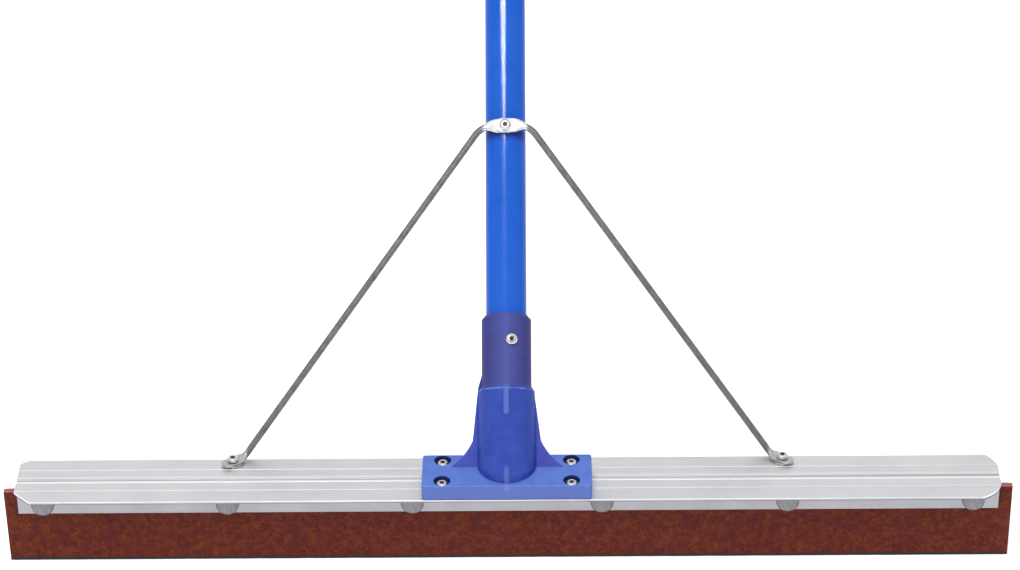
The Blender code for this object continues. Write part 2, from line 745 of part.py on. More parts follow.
def rod_mesh(route, flat_up_start, flat_up_end):
    """A rod along a route. Its tabs face flat_up_start at one end and flat_up_end at the other."""
    length = sum((b - a).length for a, b in zip(route, route[1:]))
    rings = []
    for distance in rod_stations(length):
        centre = point_on(route, distance)
        nearby = 0.4 * MM
        ahead, behind = point_on(route, distance + nearby), point_on(route, distance - nearby)
        if distance < nearby:
            behind = route[0]
        tangent = (ahead - behind).normalized()
        turn = ease((distance - UPPER_FLAT) / UPPER_BLEND - 0.5)
        up = flat_up_start.lerp(flat_up_end, turn)
        up = (up - tangent * up.dot(tangent)).normalized()
        across = tangent.cross(up)
        half_width, half_thickness, power = rod_section(distance, length)
        ring = []
        for i in range(ROD_SIDES):
            angle = 2 * math.pi * (i + 0.5) / ROD_SIDES
            x = math.copysign(abs(math.cos(angle)) ** power, math.cos(angle))
            y = math.copysign(abs(math.sin(angle)) ** power, math.sin(angle))
            ring.append(centre + across * half_width * x + up * half_thickness * y)
        rings.append(ring)
    return skin(rings)


def brace(name, side, layer, finish):
    """One rod from the handle's front down to the plate. layer 0 lies on the handle."""
    off_axis = HANDLE_R + GAP + TAB_THICKNESS / 2 + layer * (TAB_THICKNESS + GAP)
    upper_bolt = TUBE @ Vector((0, -off_axis, BRACE_BOLT_ALONG))
    across = Vector((side, 0, 0))
    elbow = upper_bolt + across * ELBOW_OUT
    foot_bolt = Vector((side * FOOT_BOLT[0], FOOT_BOLT[1], FOOT_TAB_BOTTOM + TAB_THICKNESS / 2))
    outward = foot_bolt - elbow
    outward.z = 0
    outward.normalize()
    corners = [
        upper_bolt - across * TAB_TIP,
        elbow,
        foot_bolt - outward * FOOT_BEND,
        foot_bolt + outward * FOOT_TIP,
    ]
    front = TUBE.to_3x3() @ Vector((0, -1, 0))
    route = rounded_route(corners, (ELBOW_R, FOOT_BEND_R))
    rod = piece(name, rod_mesh(route, front, Vector((0, 0, 1))), finish)
    upper_hole = cross_hole(BRACE_BOLT_ALONG, 0)
    foot_hole = round_bar(
        BOLT_R + CLEARANCE, -2 * TAB_THICKNESS, 2 * TAB_THICKNESS, Matrix.Translation(foot_bolt)
    )
    combine(rod, "DIFFERENCE", upper_hole, foot_hole)


def foot_washers(finish):
    disc = mesh_data("brace_foot_washer", washer(WASHER_R, BOLT_R + CLEARANCE, WASHER_H), finish)
    for i, (x, y, _) in enumerate(foot_bolt_places(), 1):
        place_object(f"brace_foot_washer_{i}", disc, Matrix.Translation((x, y, PLATE_TOP + GAP)))


def build():
    clear_scene()
    aluminium = material("mill_aluminium", (0.72, 0.73, 0.75), 0.45, 1.0)
    rubber = material("red_rubber", (0.16, 0.035, 0.025), 0.75)
    plastic = material("blue_plastic", (0.055, 0.075, 0.38), 0.5)
    paint = material("blue_powder_coat", (0.03, 0.12, 0.62), 0.3)
    zinc = material("zinc_plated_steel", (0.55, 0.55, 0.54), 0.35, 1.0)
    rod_steel = material("grey_rod_steel", (0.4, 0.4, 0.38), 0.42, 1.0)
    vinyl = material("black_vinyl", (0.02, 0.02, 0.02), 0.6)

    frame_extrusion(aluminium)
    rear_clamp_bar(aluminium)
    rubber_blade(rubber)
    blade_fasteners(zinc)
    handle_socket(plastic)
    base_seat = BASE_TOP - COUNTERBORE_DEPTH + GAP
    down_fasteners("base", base_bolt_places(), base_seat, THIN_NUT_H, zinc)
    handle_tube(paint)
    handle_grip(vinyl)
    cross_fasteners(
        "socket", SOCKET_BOLT_ALONG, SOCKET_BOLT_TURN, COLLAR_R + GAP, COLLAR_R + GAP, zinc
    )
    tabs_front = HANDLE_R + 3 * GAP + 2 * TAB_THICKNESS
    cross_fasteners("brace_top", BRACE_BOLT_ALONG, 0, tabs_front, HANDLE_R + GAP, zinc)
    brace("brace_left", -1, 0, rod_steel)
    brace("brace_right", 1, 1, rod_steel)
    foot_washers(zinc)
    foot_seat = FOOT_TAB_BOTTOM + TAB_THICKNESS + GAP
    down_fasteners("brace_foot", foot_bolt_places(), foot_seat, NUT_H, zinc)


build()
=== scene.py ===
"""The looks of a floor squeegee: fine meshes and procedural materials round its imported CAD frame.

Metres, in the frame's own axes: X runs along the head, the handle leans towards +Y, +Z is up.
"""

import json
import math

import bmesh
import bpy
import numpy as np
from mathutils import Matrix, Vector, noise

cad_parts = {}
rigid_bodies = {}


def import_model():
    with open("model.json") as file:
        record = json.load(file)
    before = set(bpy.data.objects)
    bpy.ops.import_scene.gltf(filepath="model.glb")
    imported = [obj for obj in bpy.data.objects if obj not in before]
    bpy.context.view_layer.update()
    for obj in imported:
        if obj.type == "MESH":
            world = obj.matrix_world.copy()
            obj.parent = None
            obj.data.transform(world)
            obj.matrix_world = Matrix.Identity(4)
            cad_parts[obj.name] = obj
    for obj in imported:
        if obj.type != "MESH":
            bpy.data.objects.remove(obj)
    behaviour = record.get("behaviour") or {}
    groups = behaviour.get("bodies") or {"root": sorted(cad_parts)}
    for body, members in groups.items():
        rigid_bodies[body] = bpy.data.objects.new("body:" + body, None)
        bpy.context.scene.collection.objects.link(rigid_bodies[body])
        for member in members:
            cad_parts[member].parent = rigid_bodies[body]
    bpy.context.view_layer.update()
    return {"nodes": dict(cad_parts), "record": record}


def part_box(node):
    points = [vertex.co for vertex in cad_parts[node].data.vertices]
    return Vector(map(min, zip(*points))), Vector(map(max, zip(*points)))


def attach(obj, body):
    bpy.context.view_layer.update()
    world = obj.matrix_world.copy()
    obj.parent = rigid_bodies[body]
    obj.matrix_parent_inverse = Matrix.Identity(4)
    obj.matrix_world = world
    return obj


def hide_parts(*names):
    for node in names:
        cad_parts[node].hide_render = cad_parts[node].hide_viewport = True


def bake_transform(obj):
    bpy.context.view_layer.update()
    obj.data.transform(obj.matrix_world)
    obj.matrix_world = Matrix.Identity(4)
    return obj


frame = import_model()

MM = 0.001
GAP = 0.3 * MM
CLEARANCE = 0.35 * MM
CUT = 2 * MM
BODY, BLADE = "body", "blade"
ROUND, HEXAGON = "round", "hexagon"
FRAME_LOW, FRAME_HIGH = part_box("frame_extrusion")
BLADE_LOW, BLADE_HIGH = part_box("rubber_blade")
SOCKET_LOW, SOCKET_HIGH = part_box("handle_socket")
BLADE_BOLTS = [f"blade_bolt_{i}" for i in range(1, 7)]
BASE_BOLTS = [f"base_bolt_{i}" for i in range(1, 5)]
FOOT_BOLTS = ["brace_foot_bolt_1", "brace_foot_bolt_2"]

# Head
BEAD_HEIGHT = 0.5 * MM
BEAD_WIDTH = 1.8 * MM
REAR_BEAD_AT = 25.8 * MM
FRONT_BEAD_AT = -6.9 * MM
GROOVE_AT = 10.1 * MM
GROOVE_LIP = 1.5 * MM
GROOVE_WIDTH = 4.4 * MM
GROOVE_DEPTH = 1.4 * MM
PLATE_THICKNESS = 3.2 * MM
WALL = 3.1 * MM
FLANGE_TOE = 0.4 * MM
FLANGE_SHORT = 2 * MM  # at each end, inside the plate
FILLET = 0.5 * MM
PLATE_TOP = FRAME_HIGH.z - BEAD_HEIGHT
UNDERSIDE = PLATE_TOP - PLATE_THICKNESS
FLANGE_BACK = BLADE_LOW.y - GAP
FLANGE_FRONT = FLANGE_BACK - WALL

# The plate's corners, each cut back along a curve from its long edge to its end. The three points
# are (in from the end, in from the edge) in mm: the start, the point the curve bends towards, the end.
CORNERS = {
    (-1, 1): ((10, 0), (5, 3.35), (0, 6.7)),
    (-1, -1): ((16.5, 0), (8.25, 8.35), (0, 16.7)),
    (1, 1): ((10.8, 0), (2.5, 8), (0, 18)),
    (1, -1): ((20, 0), (5, 6.5), (0, 21)),
}

# Fasteners
BLADE_BOLT_R = 4.76 * MM
BLADE_BOLT_HEAD_R = 10.5 * MM
BLADE_BOLT_HEAD_H = 6 * MM
BLADE_BOLT_RIM = 2 * MM
BLADE_THREAD_PITCH = 1.59 * MM
BOLT_R = 3.15 * MM
BOLT_HEAD_R = 5.55 * MM
BOLT_HEAD_H = 3.4 * MM
BOLT_SOCKET_FLATS = 4 * MM
BOLT_SOCKET_DEPTH = 1.9 * MM
BOLT_THREAD_PITCH = 1.27 * MM
HEAD_RIM = 0.9 * MM
BOLT_HOLE = BOLT_R + CLEARANCE
THREADED = 14 * MM  # of each shank, from its end
SIDES = 48

# Handle and socket, "along" being measured up the handle's axis from the top of the socket's base
HANDLE_R = 19.05 * MM
HANDLE_WALL = 1.8 * MM
HANDLE_START = 14 * MM
BASE_LENGTH = 157 * MM
BASE_DEPTH = 50.5 * MM
BASE_HEIGHT = 15 * MM
BASE_CORNER = 2.5 * MM
BASE_EDGE = 0.7 * MM
COUNTERBORE_R = 7.9 * MM
COUNTERBORE_DEPTH = 5.2 * MM
BODY_FOOT_R = 27.1 * MM
BODY_TOP_R = 26.2 * MM
FOOT_REACH = 28.6 * MM
HEEL_BACK = 36 * MM
HEEL_HALF_WIDTH = 26.4 * MM
SHOULDER_START = 69 * MM
SHOULDER_END = 73.7 * MM
COLLAR_R = 23.2 * MM
COLLAR_CHAMFER_START = 136.5 * MM
COLLAR_END = 140.8 * MM
BORE_START = HANDLE_START - 1.5 * MM
BODY_BELOW = 70 * MM
BURIED = 1.7 * MM
WEB_THICKNESS = 4.5 * MM
WEB_FOOT = 51.2 * MM
WEB_WAIST = (31.7 * MM, 23 * MM)
WEB_PULL = (38.5 * MM, 8.5 * MM)
TALL_WEB = ((26.7 * MM, 72 * MM), (22.4 * MM, 87 * MM))  # the -X web runs on up the collar
RIB_WIDTH = 5.2 * MM
RIB_HEIGHT = 0.9 * MM
FRONT_RIB_START = 45 * MM
FOOT_RIB_END = -2.5 * MM
VOXEL = 0.6 * MM
BASE_TOP = SOCKET_LOW.z + BASE_HEIGHT

# Braces
ROD_R = 3.175 * MM
TAB_WIDTH = 13.4 * MM
BRACE_BOLT_ALONG = 318.3 * MM
TAB_THICKNESS = 2.4 * MM
TAB_TIP = 10 * MM
FOOT_TIP = 11.5 * MM
ELBOW_OUT = 22 * MM
FOOT_BEND = 12.5 * MM
ELBOW_R = 22 * MM
FOOT_BEND_R = 11 * MM
UPPER_FLAT = TAB_TIP + 7 * MM
LOWER_FLAT = FOOT_TIP + 7.5 * MM
UPPER_BLEND = 14 * MM
LOWER_BLEND = 8 * MM
LOWER_TAB_AT = 243 * MM  # how far aside the lower tabs begin
ROD_SIDES = 28

# Grip
GRIP_LENGTH = 125 * MM
GRIP_WALL = 2.4 * MM
GRIP_RIBS = 8
GRIP_RIB_PITCH = 11 * MM
GRIP_RIB_H = 0.9 * MM
GRIP_ROUND = 5 * MM


def record_mount(name):
    return next(m for m in frame["record"]["mounts"] if m["name"] == name)


def handle_frame():
    """A matrix whose Z runs up the handle's axis and whose -Y is its front, with along = 0 at Z = 0."""
    grip = record_mount("hand_grip")
    up = Vector(grip["axis"]).normalized()
    point = Vector(grip["pos_m"])
    origin = point + up * (BASE_TOP - point.z) / up.z
    across = Vector((1, 0, 0))
    turn = Matrix((across, up.cross(across), up)).transposed()
    return Matrix.Translation(origin) @ turn.to_4x4()


TUBE = handle_frame()
AXIS_Y = TUBE.translation.y
TILT = math.acos(TUBE.col[2].z)
FACING_FRONT = Matrix.Rotation(math.radians(90), 4, "X")


def own_place(node):
    """A round node's own frame: Z runs along its axis to its wider end, and the two ends' heights."""
    points = np.array([v.co for v in frame["nodes"][node].data.vertices], float)
    points = np.unique(np.round(points, 6), axis=0)
    centre = points.mean(0)
    spread, directions = np.linalg.eigh(np.cov((points - centre).T))
    lone = 0 if spread[1] - spread[0] > spread[2] - spread[1] else 2
    axis = directions[:, lone]
    along = (points - centre) @ axis
    reach = np.linalg.norm(points - centre - np.outer(along, axis), axis=1)
    middle = (along.max() + along.min()) / 2
    if reach[along > middle].max() < reach[along <= middle].max():
        axis, along = -axis, -along
    up = Vector(axis)
    across = Vector((1, 0, 0)) if abs(up.x) < 0.9 else Vector((0, 1, 0))
    across = (across - up * across.dot(up)).normalized()
    turn = Matrix((across, up.cross(across), up)).transposed().to_4x4()
    return Matrix.Translation(centre) @ turn, along.min(), along.max()


def bolt_along(node):
    """How far up the handle's axis a cross bolt sits."""
    place, _, _ = own_place(node)
    return (TUBE.inverted() @ place.translation).z


# Meshes ----------------------------------------------------------------------------------


def mesh_data(name, mesh, finish, smooth_below=35):
    bmesh.ops.recalc_face_normals(mesh, faces=mesh.faces)
    if mesh.calc_volume(signed=True) < 0:
        bmesh.ops.reverse_faces(mesh, faces=mesh.faces)
    data = bpy.data.meshes.new(name)
    mesh.to_mesh(data)
    mesh.free()
    data.materials.append(finish)
    data.shade_smooth()
    data.set_sharp_from_angle(angle=math.radians(smooth_below))
    return data


def place_object(name, data, place=None):
    made = bpy.data.objects.new(name, data)
    made.matrix_world = place or Matrix.Identity(4)
    bpy.context.scene.collection.objects.link(made)
    return made


def piece(name, mesh, finish, place=None):
    return place_object(name, mesh_data(name, mesh, finish), place)


def append(target, other):
    scratch = bpy.data.meshes.new("scratch")
    other.to_mesh(scratch)
    other.free()
    target.from_mesh(scratch)
    bpy.data.meshes.remove(scratch)


def combine(target, operation, *shapes, solver="EXACT"):
    """A Boolean modifier whose other side is these shapes, given in the target's own frame."""
    tool = bmesh.new()
    for shape in shapes:
        append(tool, shape)
    cutter = piece("cutter", tool, target.data.materials[0], target.matrix_world)
    step = target.modifiers.new(operation.title(), "BOOLEAN")
    step.operation = operation
    step.solver = solver
    step.object = cutter


def settle(target, smooth_below=35):
    """Makes a piece's modifiers permanent and removes the shapes that they used."""
    tools = [step.object for step in target.modifiers if step.type == "BOOLEAN"]
    evaluated = target.evaluated_get(bpy.context.evaluated_depsgraph_get())
    final = bpy.data.meshes.new_from_object(evaluated)
    target.modifiers.clear()
    target.data = final
    final.shade_smooth()
    final.set_sharp_from_angle(angle=math.radians(smooth_below))
    for tool in tools:
        bpy.data.objects.remove(tool, do_unlink=True)


def skin(rings, closed=False):
    """A solid through rings of points. A ring of one point is a pole; closed joins last to first."""
    mesh = bmesh.new()
    loops = [[mesh.verts.new(point) for point in ring] for ring in rings]
    pairs = list(zip(loops, loops[1:]))
    if closed:
        pairs.append((loops[-1], loops[0]))
    for low, high in pairs:
        sides = max(len(low), len(high))
        for i in range(sides):
            j = (i + 1) % sides
            if len(low) == 1:
                mesh.faces.new((low[0], high[i], high[j]))
            elif len(high) == 1:
                mesh.faces.new((low[i], low[j], high[0]))
            else:
                mesh.faces.new((low[i], low[j], high[j], high[i]))
    if not closed:
        for loop in (loops[0], loops[-1]):
            if len(loop) > 2:
                mesh.faces.new(loop)
    return mesh


def hexagon_reach(half_flats, angle):
    return half_flats / math.cos((angle + math.pi / 6) % (math.pi / 3) - math.pi / 6)


def turned_ring(shape, radius, height, segments):
    if radius == 0:
        return [(0, 0, height)]
    ring = []
    for i in range(segments):
        angle = 2 * math.pi * i / segments
        reach = hexagon_reach(radius, angle) if shape == HEXAGON else radius
        ring.append((reach * math.cos(angle), reach * math.sin(angle), height))
    return ring


def turned(profile, segments=SIDES, closed=False):
    """A solid about local Z through (shape, radius or half the width over flats, height)."""
    return skin([turned_ring(*step, segments) for step in profile], closed)


def round_bar(radius, low, high, place=None, segments=SIDES):
    bar = turned([(ROUND, radius, low), (ROUND, radius, high)], segments)
    bar.transform(place or Matrix.Identity(4))
    return bar


def extruded(outline, low, high, axis):
    """A prism along an axis. The outline gives the other two coordinates, in XYZ order."""
    slot = "XYZ".index(axis)
    rings = []
    for height in (low, high):
        rings.append([(*point[:slot], height, *point[slot:]) for point in outline])
    return skin(rings)


def arc(centre, radius, start, end, steps):
    """Points of an arc, in degrees. The radius may be a pair: across and up."""
    across, up = radius if isinstance(radius, tuple) else (radius, radius)
    points = []
    for i in range(steps + 1):
        angle = math.radians(start + (end - start) * i / steps)
        points.append((centre[0] + across * math.cos(angle), centre[1] + up * math.sin(angle)))
    return points


def round_steps(centre, radius, start, end, steps):
    """An arc as steps of a turned profile."""
    return [(ROUND, across, up) for across, up in arc(centre, radius, start, end, steps)]


def rounded_rectangle(half_x, half_y, radius, steps=8):
    points = []
    for i, (side_x, side_y) in enumerate(((1, 1), (-1, 1), (-1, -1), (1, -1))):
        centre = (side_x * (half_x - radius), side_y * (half_y - radius))
        points += arc(centre, radius, 90 * i, 90 * i + 90, steps)
    return points


def ease(value):
    value = min(max(value, 0), 1)
    return value * value * (3 - 2 * value)


# Materials ---------------------------------------------------------------------------------


class Shader:
    """A material round one Principled shader. Plain values sit on the shader's own sockets."""

    def __init__(self, name, **values):
        self.material = bpy.data.materials.new(name)
        self.material.use_nodes = True
        self.tree = self.material.node_tree
        self.principled = self.tree.nodes["Principled BSDF"]
        for socket, value in values.items():
            self.principled.inputs[socket.replace("_", " ")].default_value = value
        self.place = self.add("ShaderNodeTexCoord").outputs["Object"]

    def add(self, kind, inputs=None, **settings):
        node = self.tree.nodes.new(kind)
        for name, value in settings.items():
            setattr(node, name, value)
        for socket, value in (inputs or {}).items():
            if isinstance(value, bpy.types.NodeSocket):
                self.tree.links.new(value, node.inputs[socket])
            else:
                node.inputs[socket].default_value = value
        return node

    def stretched(self, scale):
        return self.add("ShaderNodeMapping", {"Vector": self.place, "Scale": scale}).outputs[0]

    def noise(self, scale, detail=4, roughness=0.6, place=None):
        inputs = {"Vector": place or self.place, "Scale": scale}
        inputs |= {"Detail": detail, "Roughness": roughness}
        return self.add("ShaderNodeTexNoise", inputs).outputs["Fac"]

    def split(self, vector, axis):
        return self.add("ShaderNodeSeparateXYZ", {0: vector}).outputs[axis]

    def span(self, value, low, high, to_low, to_high):
        inputs = {"Value": value, 1: low, 2: high, 3: to_low, 4: to_high}
        return self.add("ShaderNodeMapRange", inputs).outputs[0]

    def math(self, operation, first, second=0):
        return self.add("ShaderNodeMath", {0: first, 1: second}, operation=operation).outputs[0]

    def near(self, value, middle, half, soft=0.2):
        """1 within half of the middle, fading to 0 over the soft share of half."""
        away = self.math("ABSOLUTE", self.math("SUBTRACT", value, middle))
        return self.span(away, (1 - soft) * half, half, 1, 0)

    def product(self, *values):
        result = values[0]
        for value in values[1:]:
            result = self.math("MULTIPLY", result, value)
        return result

    def along(self, direction):
        """How far each point lies along a direction from the origin."""
        inputs = {0: self.place, 1: direction}
        node = self.add("ShaderNodeVectorMath", inputs, operation="DOT_PRODUCT")
        return node.outputs["Value"]

    def ramp(self, value, *stops):
        node = self.add("ShaderNodeValToRGB", {"Fac": value})
        elements = node.color_ramp.elements
        while len(elements) < len(stops):
            elements.new(0.5)
        for element, (position, colour) in zip(elements, stops):
            element.position = position
            element.color = (*colour, 1)
        return node.outputs["Color"]

    def mix(self, share, first, second):
        node = self.add("ShaderNodeMix", data_type="RGBA")
        for socket, value in ((0, share), (6, first), (7, second)):
            if isinstance(value, bpy.types.NodeSocket):
                self.tree.links.new(value, node.inputs[socket])
            else:
                node.inputs[socket].default_value = value if socket == 0 else (*value, 1)
        return node.outputs[2]

    def bump(self, height, strength, distance):
        inputs = {"Height": height, "Strength": strength, "Distance": distance}
        return self.add("ShaderNodeBump", inputs).outputs[0]

    def feed(self, **sources):
        for socket, source in sources.items():
            self.tree.links.new(source, self.principled.inputs[socket.replace("_", " ")])

    def surface(self, colour, tone, roughness, relief, bump):
        """Feeds a colour, a roughness that follows the tone, and a relief of (strength, depth)."""
        rough = self.span(tone, 0.3, 0.7, *roughness)
        self.feed(Base_Color=colour, Roughness=rough, Normal=self.bump(relief, *bump))
        return self.material


def extruded_aluminium():
    """Satin metal with die lines along X: painted highlights on its ridges, painted shade in the
    groove, on the plate's front and cut edges and over the flange.
    """
    s = Shader("extruded_aluminium", Metallic=1.0)
    lines = s.noise(1, 6, 0.7, s.stretched((5, 900, 900)))
    clouds = s.noise(28, 5, 0.6)
    grain = s.noise(1400, 3, 0.6)
    marks = s.span(s.noise(1, 3, 0.5, s.stretched((60, 240, 60))), 0.66, 0.74, 0, 1)
    tone = s.math("ADD", s.product(lines, 0.55), s.product(clouds, 0.45))
    colour = s.ramp(tone, (0.3, (0.70, 0.705, 0.725)), (0.7, (0.81, 0.815, 0.83)))
    colour = s.mix(s.product(marks, 0.25), colour, (0.50, 0.50, 0.52))
    height = s.split(s.place, "Z")
    across = s.split(s.place, "Y")
    # Painted highlights: the ridges' tops are mixed towards white, the groove's front lip fully to
    # white.
    raised = s.span(height, PLATE_TOP + 0.1 * MM, PLATE_TOP + 0.35 * MM, 0, 1)
    colour = s.mix(s.product(raised, 0.4), colour, (0.95, 0.95, 0.96))
    front_lip = s.near(across, GROOVE_AT - GROOVE_WIDTH / 2 - GROOVE_LIP, 1.4 * GROOVE_LIP)
    colour = s.mix(s.product(raised, front_lip), colour, (1.0, 1.0, 1.0))
    # Painted shade: the groove's floor and walls are darkened towards a dark grey.
    in_groove = s.near(across, GROOVE_AT, 0.6 * GROOVE_WIDTH)
    below_top = s.span(height, PLATE_TOP - 0.2 * MM, PLATE_TOP - 0.7 * MM, 0, 0.5)
    colour = s.mix(s.product(in_groove, below_top), colour, (0.22, 0.21, 0.25))
    # Painted shade: the face of the plate's front edge, below the ridges, is darkened.
    front_edge = s.span(across, FRAME_LOW.y + 0.3 * MM, FRAME_LOW.y + 0.1 * MM, 0, 0.4)
    colour = s.mix(s.product(front_edge, s.math("SUBTRACT", 1, raised)), colour, (0.22, 0.21, 0.25))
    # Painted shade: a dark band just above the plate's underside, all round its edges.
    cut_edge = s.near(height, UNDERSIDE + 0.7 * MM, 0.85 * MM)
    colour = s.mix(s.product(cut_edge, 0.95), colour, (0.12, 0.12, 0.135))
    # Painted shade: the flange below the plate takes a darker copy of the metal's colour, for the shade
    # under the plate.
    flange = s.ramp(tone, (0.3, (0.31, 0.31, 0.335)), (0.7, (0.385, 0.385, 0.41)))
    colour = s.mix(s.span(height, UNDERSIDE - 1 * MM, UNDERSIDE - 2.5 * MM, 0, 1), colour, flange)
    relief = s.math("ADD", lines, s.product(grain, 0.5))
    return s.surface(colour, tone, (0.52, 0.42), relief, (0.25, 0.05 * MM))


def red_rubber():
    """Matt red-brown rubber, mottled, with painted light on its top face and dirt on the working edge.
    """
    s = Shader("red_rubber_sheet", Roughness=0.75, Specular_IOR_Level=0.15)
    blotches = s.noise(150, 6, 0.75)
    hue = s.noise(210, 4, 0.65)
    speckle = s.noise(1100, 3, 0.7)
    colour = s.ramp(
        blotches,
        (0.36, (0.066, 0.010, 0.006)),
        (0.5, (0.105, 0.015, 0.007)),
        (0.64, (0.160, 0.030, 0.012)),
    )
    colour = s.mix(s.span(hue, 0.5, 0.66, 0, 0.8), colour, (0.088, 0.013, 0.020))
    colour = s.mix(s.span(hue, 0.48, 0.34, 0, 0.7), colour, (0.150, 0.034, 0.008))
    colour = s.mix(s.span(speckle, 0.58, 0.75, 0, 0.5), colour, (0.22, 0.062, 0.042))
    colour = s.mix(s.span(speckle, 0.43, 0.28, 0, 0.6), colour, (0.03, 0.009, 0.009))
    height = s.add("ShaderNodeAttribute", attribute_name="height").outputs["Fac"]
    ragged = s.math("ADD", height, s.span(s.noise(160, 4, 0.6), 0, 1, -0.7 * MM, 0.7 * MM))
    colour = s.mix(s.span(ragged, 2.4 * MM, 4.4 * MM, 0.95, 0), colour, (0.030, 0.026, 0.030))
    # Painted light: the top face is mixed towards a pale pink, as if lit from above.
    top = BLADE_HIGH.z - 0.9 * MM
    colour = s.mix(s.span(height, top, top + 0.6 * MM, 0, 0.8), colour, (0.36, 0.13, 0.14))
    relief = s.math("ADD", s.product(speckle, 0.4), blotches)
    s.feed(Base_Color=colour, Normal=s.bump(relief, 0.35, 0.2 * MM))
    return s.material


def moulded_plastic():
    """Blue moulding, purple on its collar; painted light on its base's top and down the collar's
    middle, paler on its base's front, painted shade in its holes and painted highlights on its edges
    and ribs.
    """
    s = Shader("moulded_blue_plastic", Specular_IOR_Level=0.05)
    up = TUBE.col[2].to_3d()
    front = -TUBE.col[1].to_3d()
    along = s.math("SUBTRACT", s.along(up), up.dot(TUBE.translation))
    out = s.math("SUBTRACT", s.along(front), front.dot(TUBE.translation))
    x, y, z = (s.split(s.place, axis) for axis in "XYZ")
    aside = s.math("ABSOLUTE", x)
    clouds = s.noise(70, 5, 0.6)
    body = s.ramp(clouds, (0.3, (0.028, 0.054, 0.30)), (0.7, (0.040, 0.074, 0.36)))
    flats = s.ramp(clouds, (0.3, (0.078, 0.146, 0.46)), (0.7, (0.104, 0.180, 0.54)))
    web = s.ramp(clouds, (0.3, (0.052, 0.070, 0.34)), (0.7, (0.070, 0.090, 0.41)))
    collar = s.ramp(clouds, (0.3, (0.036, 0.038, 0.16)), (0.7, (0.047, 0.049, 0.20)))
    # Painted light and shade: the collar is paler down its front middle and darker towards its sides.
    collar_middle_light = s.span(aside, 3 * MM, COLLAR_R - 5 * MM, 0.85, 0)
    collar = s.mix(s.product(collar_middle_light, s.span(out, 0, 10 * MM, 0, 1)), collar, (0.072, 0.084, 0.29))
    colour = s.mix(s.span(along, SHOULDER_START, SHOULDER_END, 0, 1), body, collar)
    colour = s.mix(s.span(aside, BODY_FOOT_R, BODY_FOOT_R + 1.5 * MM, 0, 1), colour, web)
    # Painted light: the base's top is paler, as lit from above.
    colour = s.mix(s.span(z, BASE_TOP + 0.5 * MM, BASE_TOP, 0, 1), colour, flats)
    front_face = -BASE_DEPTH / 2
    in_front = s.span(y, front_face + 0.6 * MM, front_face + 0.1 * MM, 0, 0.6)
    colour = s.mix(in_front, colour, (0.11, 0.14, 0.38))

    # Painted highlights: pale lines on the shoulder's and the base's edges, broken up by noise, and on
    # the ribs on the front
    highlight_breakup = s.span(s.noise(200, 4, 0.6), 0.4, 0.6, 0.1, 0.55)
    shoulder = s.near(along, SHOULDER_START, 0.9 * MM)
    base_edge = s.product(s.near(z, BASE_TOP, 0.6 * MM), s.near(y, front_face, 1.1 * MM))
    upper_rib = s.product(
        s.span(along, FRONT_RIB_START - 1 * MM, FRONT_RIB_START, 0, 0.33),
        s.span(along, SHOULDER_START, SHOULDER_END, 1, 0.12),
    )
    lower_rib = s.span(along, FOOT_RIB_END, FOOT_RIB_END - 6 * MM, 0, 0.25)
    middle = s.product(s.near(x, 0, 0.6 * RIB_WIDTH, 0.5), s.span(out, 20 * MM, 21 * MM, 0, 1))
    rib = s.product(middle, s.math("MAXIMUM", upper_rib, lower_rib))
    edges = s.product(s.math("MAXIMUM", shoulder, base_edge), highlight_breakup)
    colour = s.mix(s.math("MAXIMUM", edges, rib), colour, (0.20, 0.27, 0.58))

    # Painted shade: the holes below the base's top are darkened.
    inside = s.product(
        s.span(z, BASE_TOP - 0.3 * MM, BASE_TOP - 1 * MM, 0, 0.85),
        s.span(aside, BASE_LENGTH / 2 - 1 * MM, BASE_LENGTH / 2 - 0.5 * MM, 1, 0),
        s.span(s.math("ABSOLUTE", y), BASE_DEPTH / 2 - 1 * MM, BASE_DEPTH / 2 - 0.5 * MM, 1, 0),
    )
    colour = s.mix(inside, colour, (0.018, 0.010, 0.085))
    grain = s.noise(900, 4, 0.65)
    colour = s.mix(s.span(grain, 0.6, 0.75, 0, 0.25), colour, (0.13, 0.15, 0.45))
    return s.surface(colour, clouds, (0.42, 0.54), grain, (0.25, 0.06 * MM))


def powder_coat():
    """Glossy blue powder coat, with a painted shadow just below the brace tabs."""
    s = Shader("blue_powder_coat_gloss", Specular_IOR_Level=0.06)
    peel = s.noise(520, 2, 0.5)
    clouds = s.noise(30, 4, 0.6)
    colour = s.ramp(clouds, (0.3, (0.012, 0.090, 0.45)), (0.7, (0.018, 0.102, 0.52)))
    along = s.split(s.place, "Z")
    # Painted shadow: a dark band on the coat just below and under the brace tabs.
    tab_edge = BRACE_BOLT_ALONG - TAB_WIDTH / 2
    tab_shadow = s.product(
        s.span(along, tab_edge - 8 * MM, tab_edge - 2 * MM, 0, 0.7),
        s.span(along, tab_edge + 3 * MM, tab_edge + 4 * MM, 1, 0),
    )
    colour = s.mix(tab_shadow, colour, (0.020, 0.024, 0.16))
    return s.surface(colour, clouds, (0.1, 0.16), peel, (0.02, 0.04 * MM))


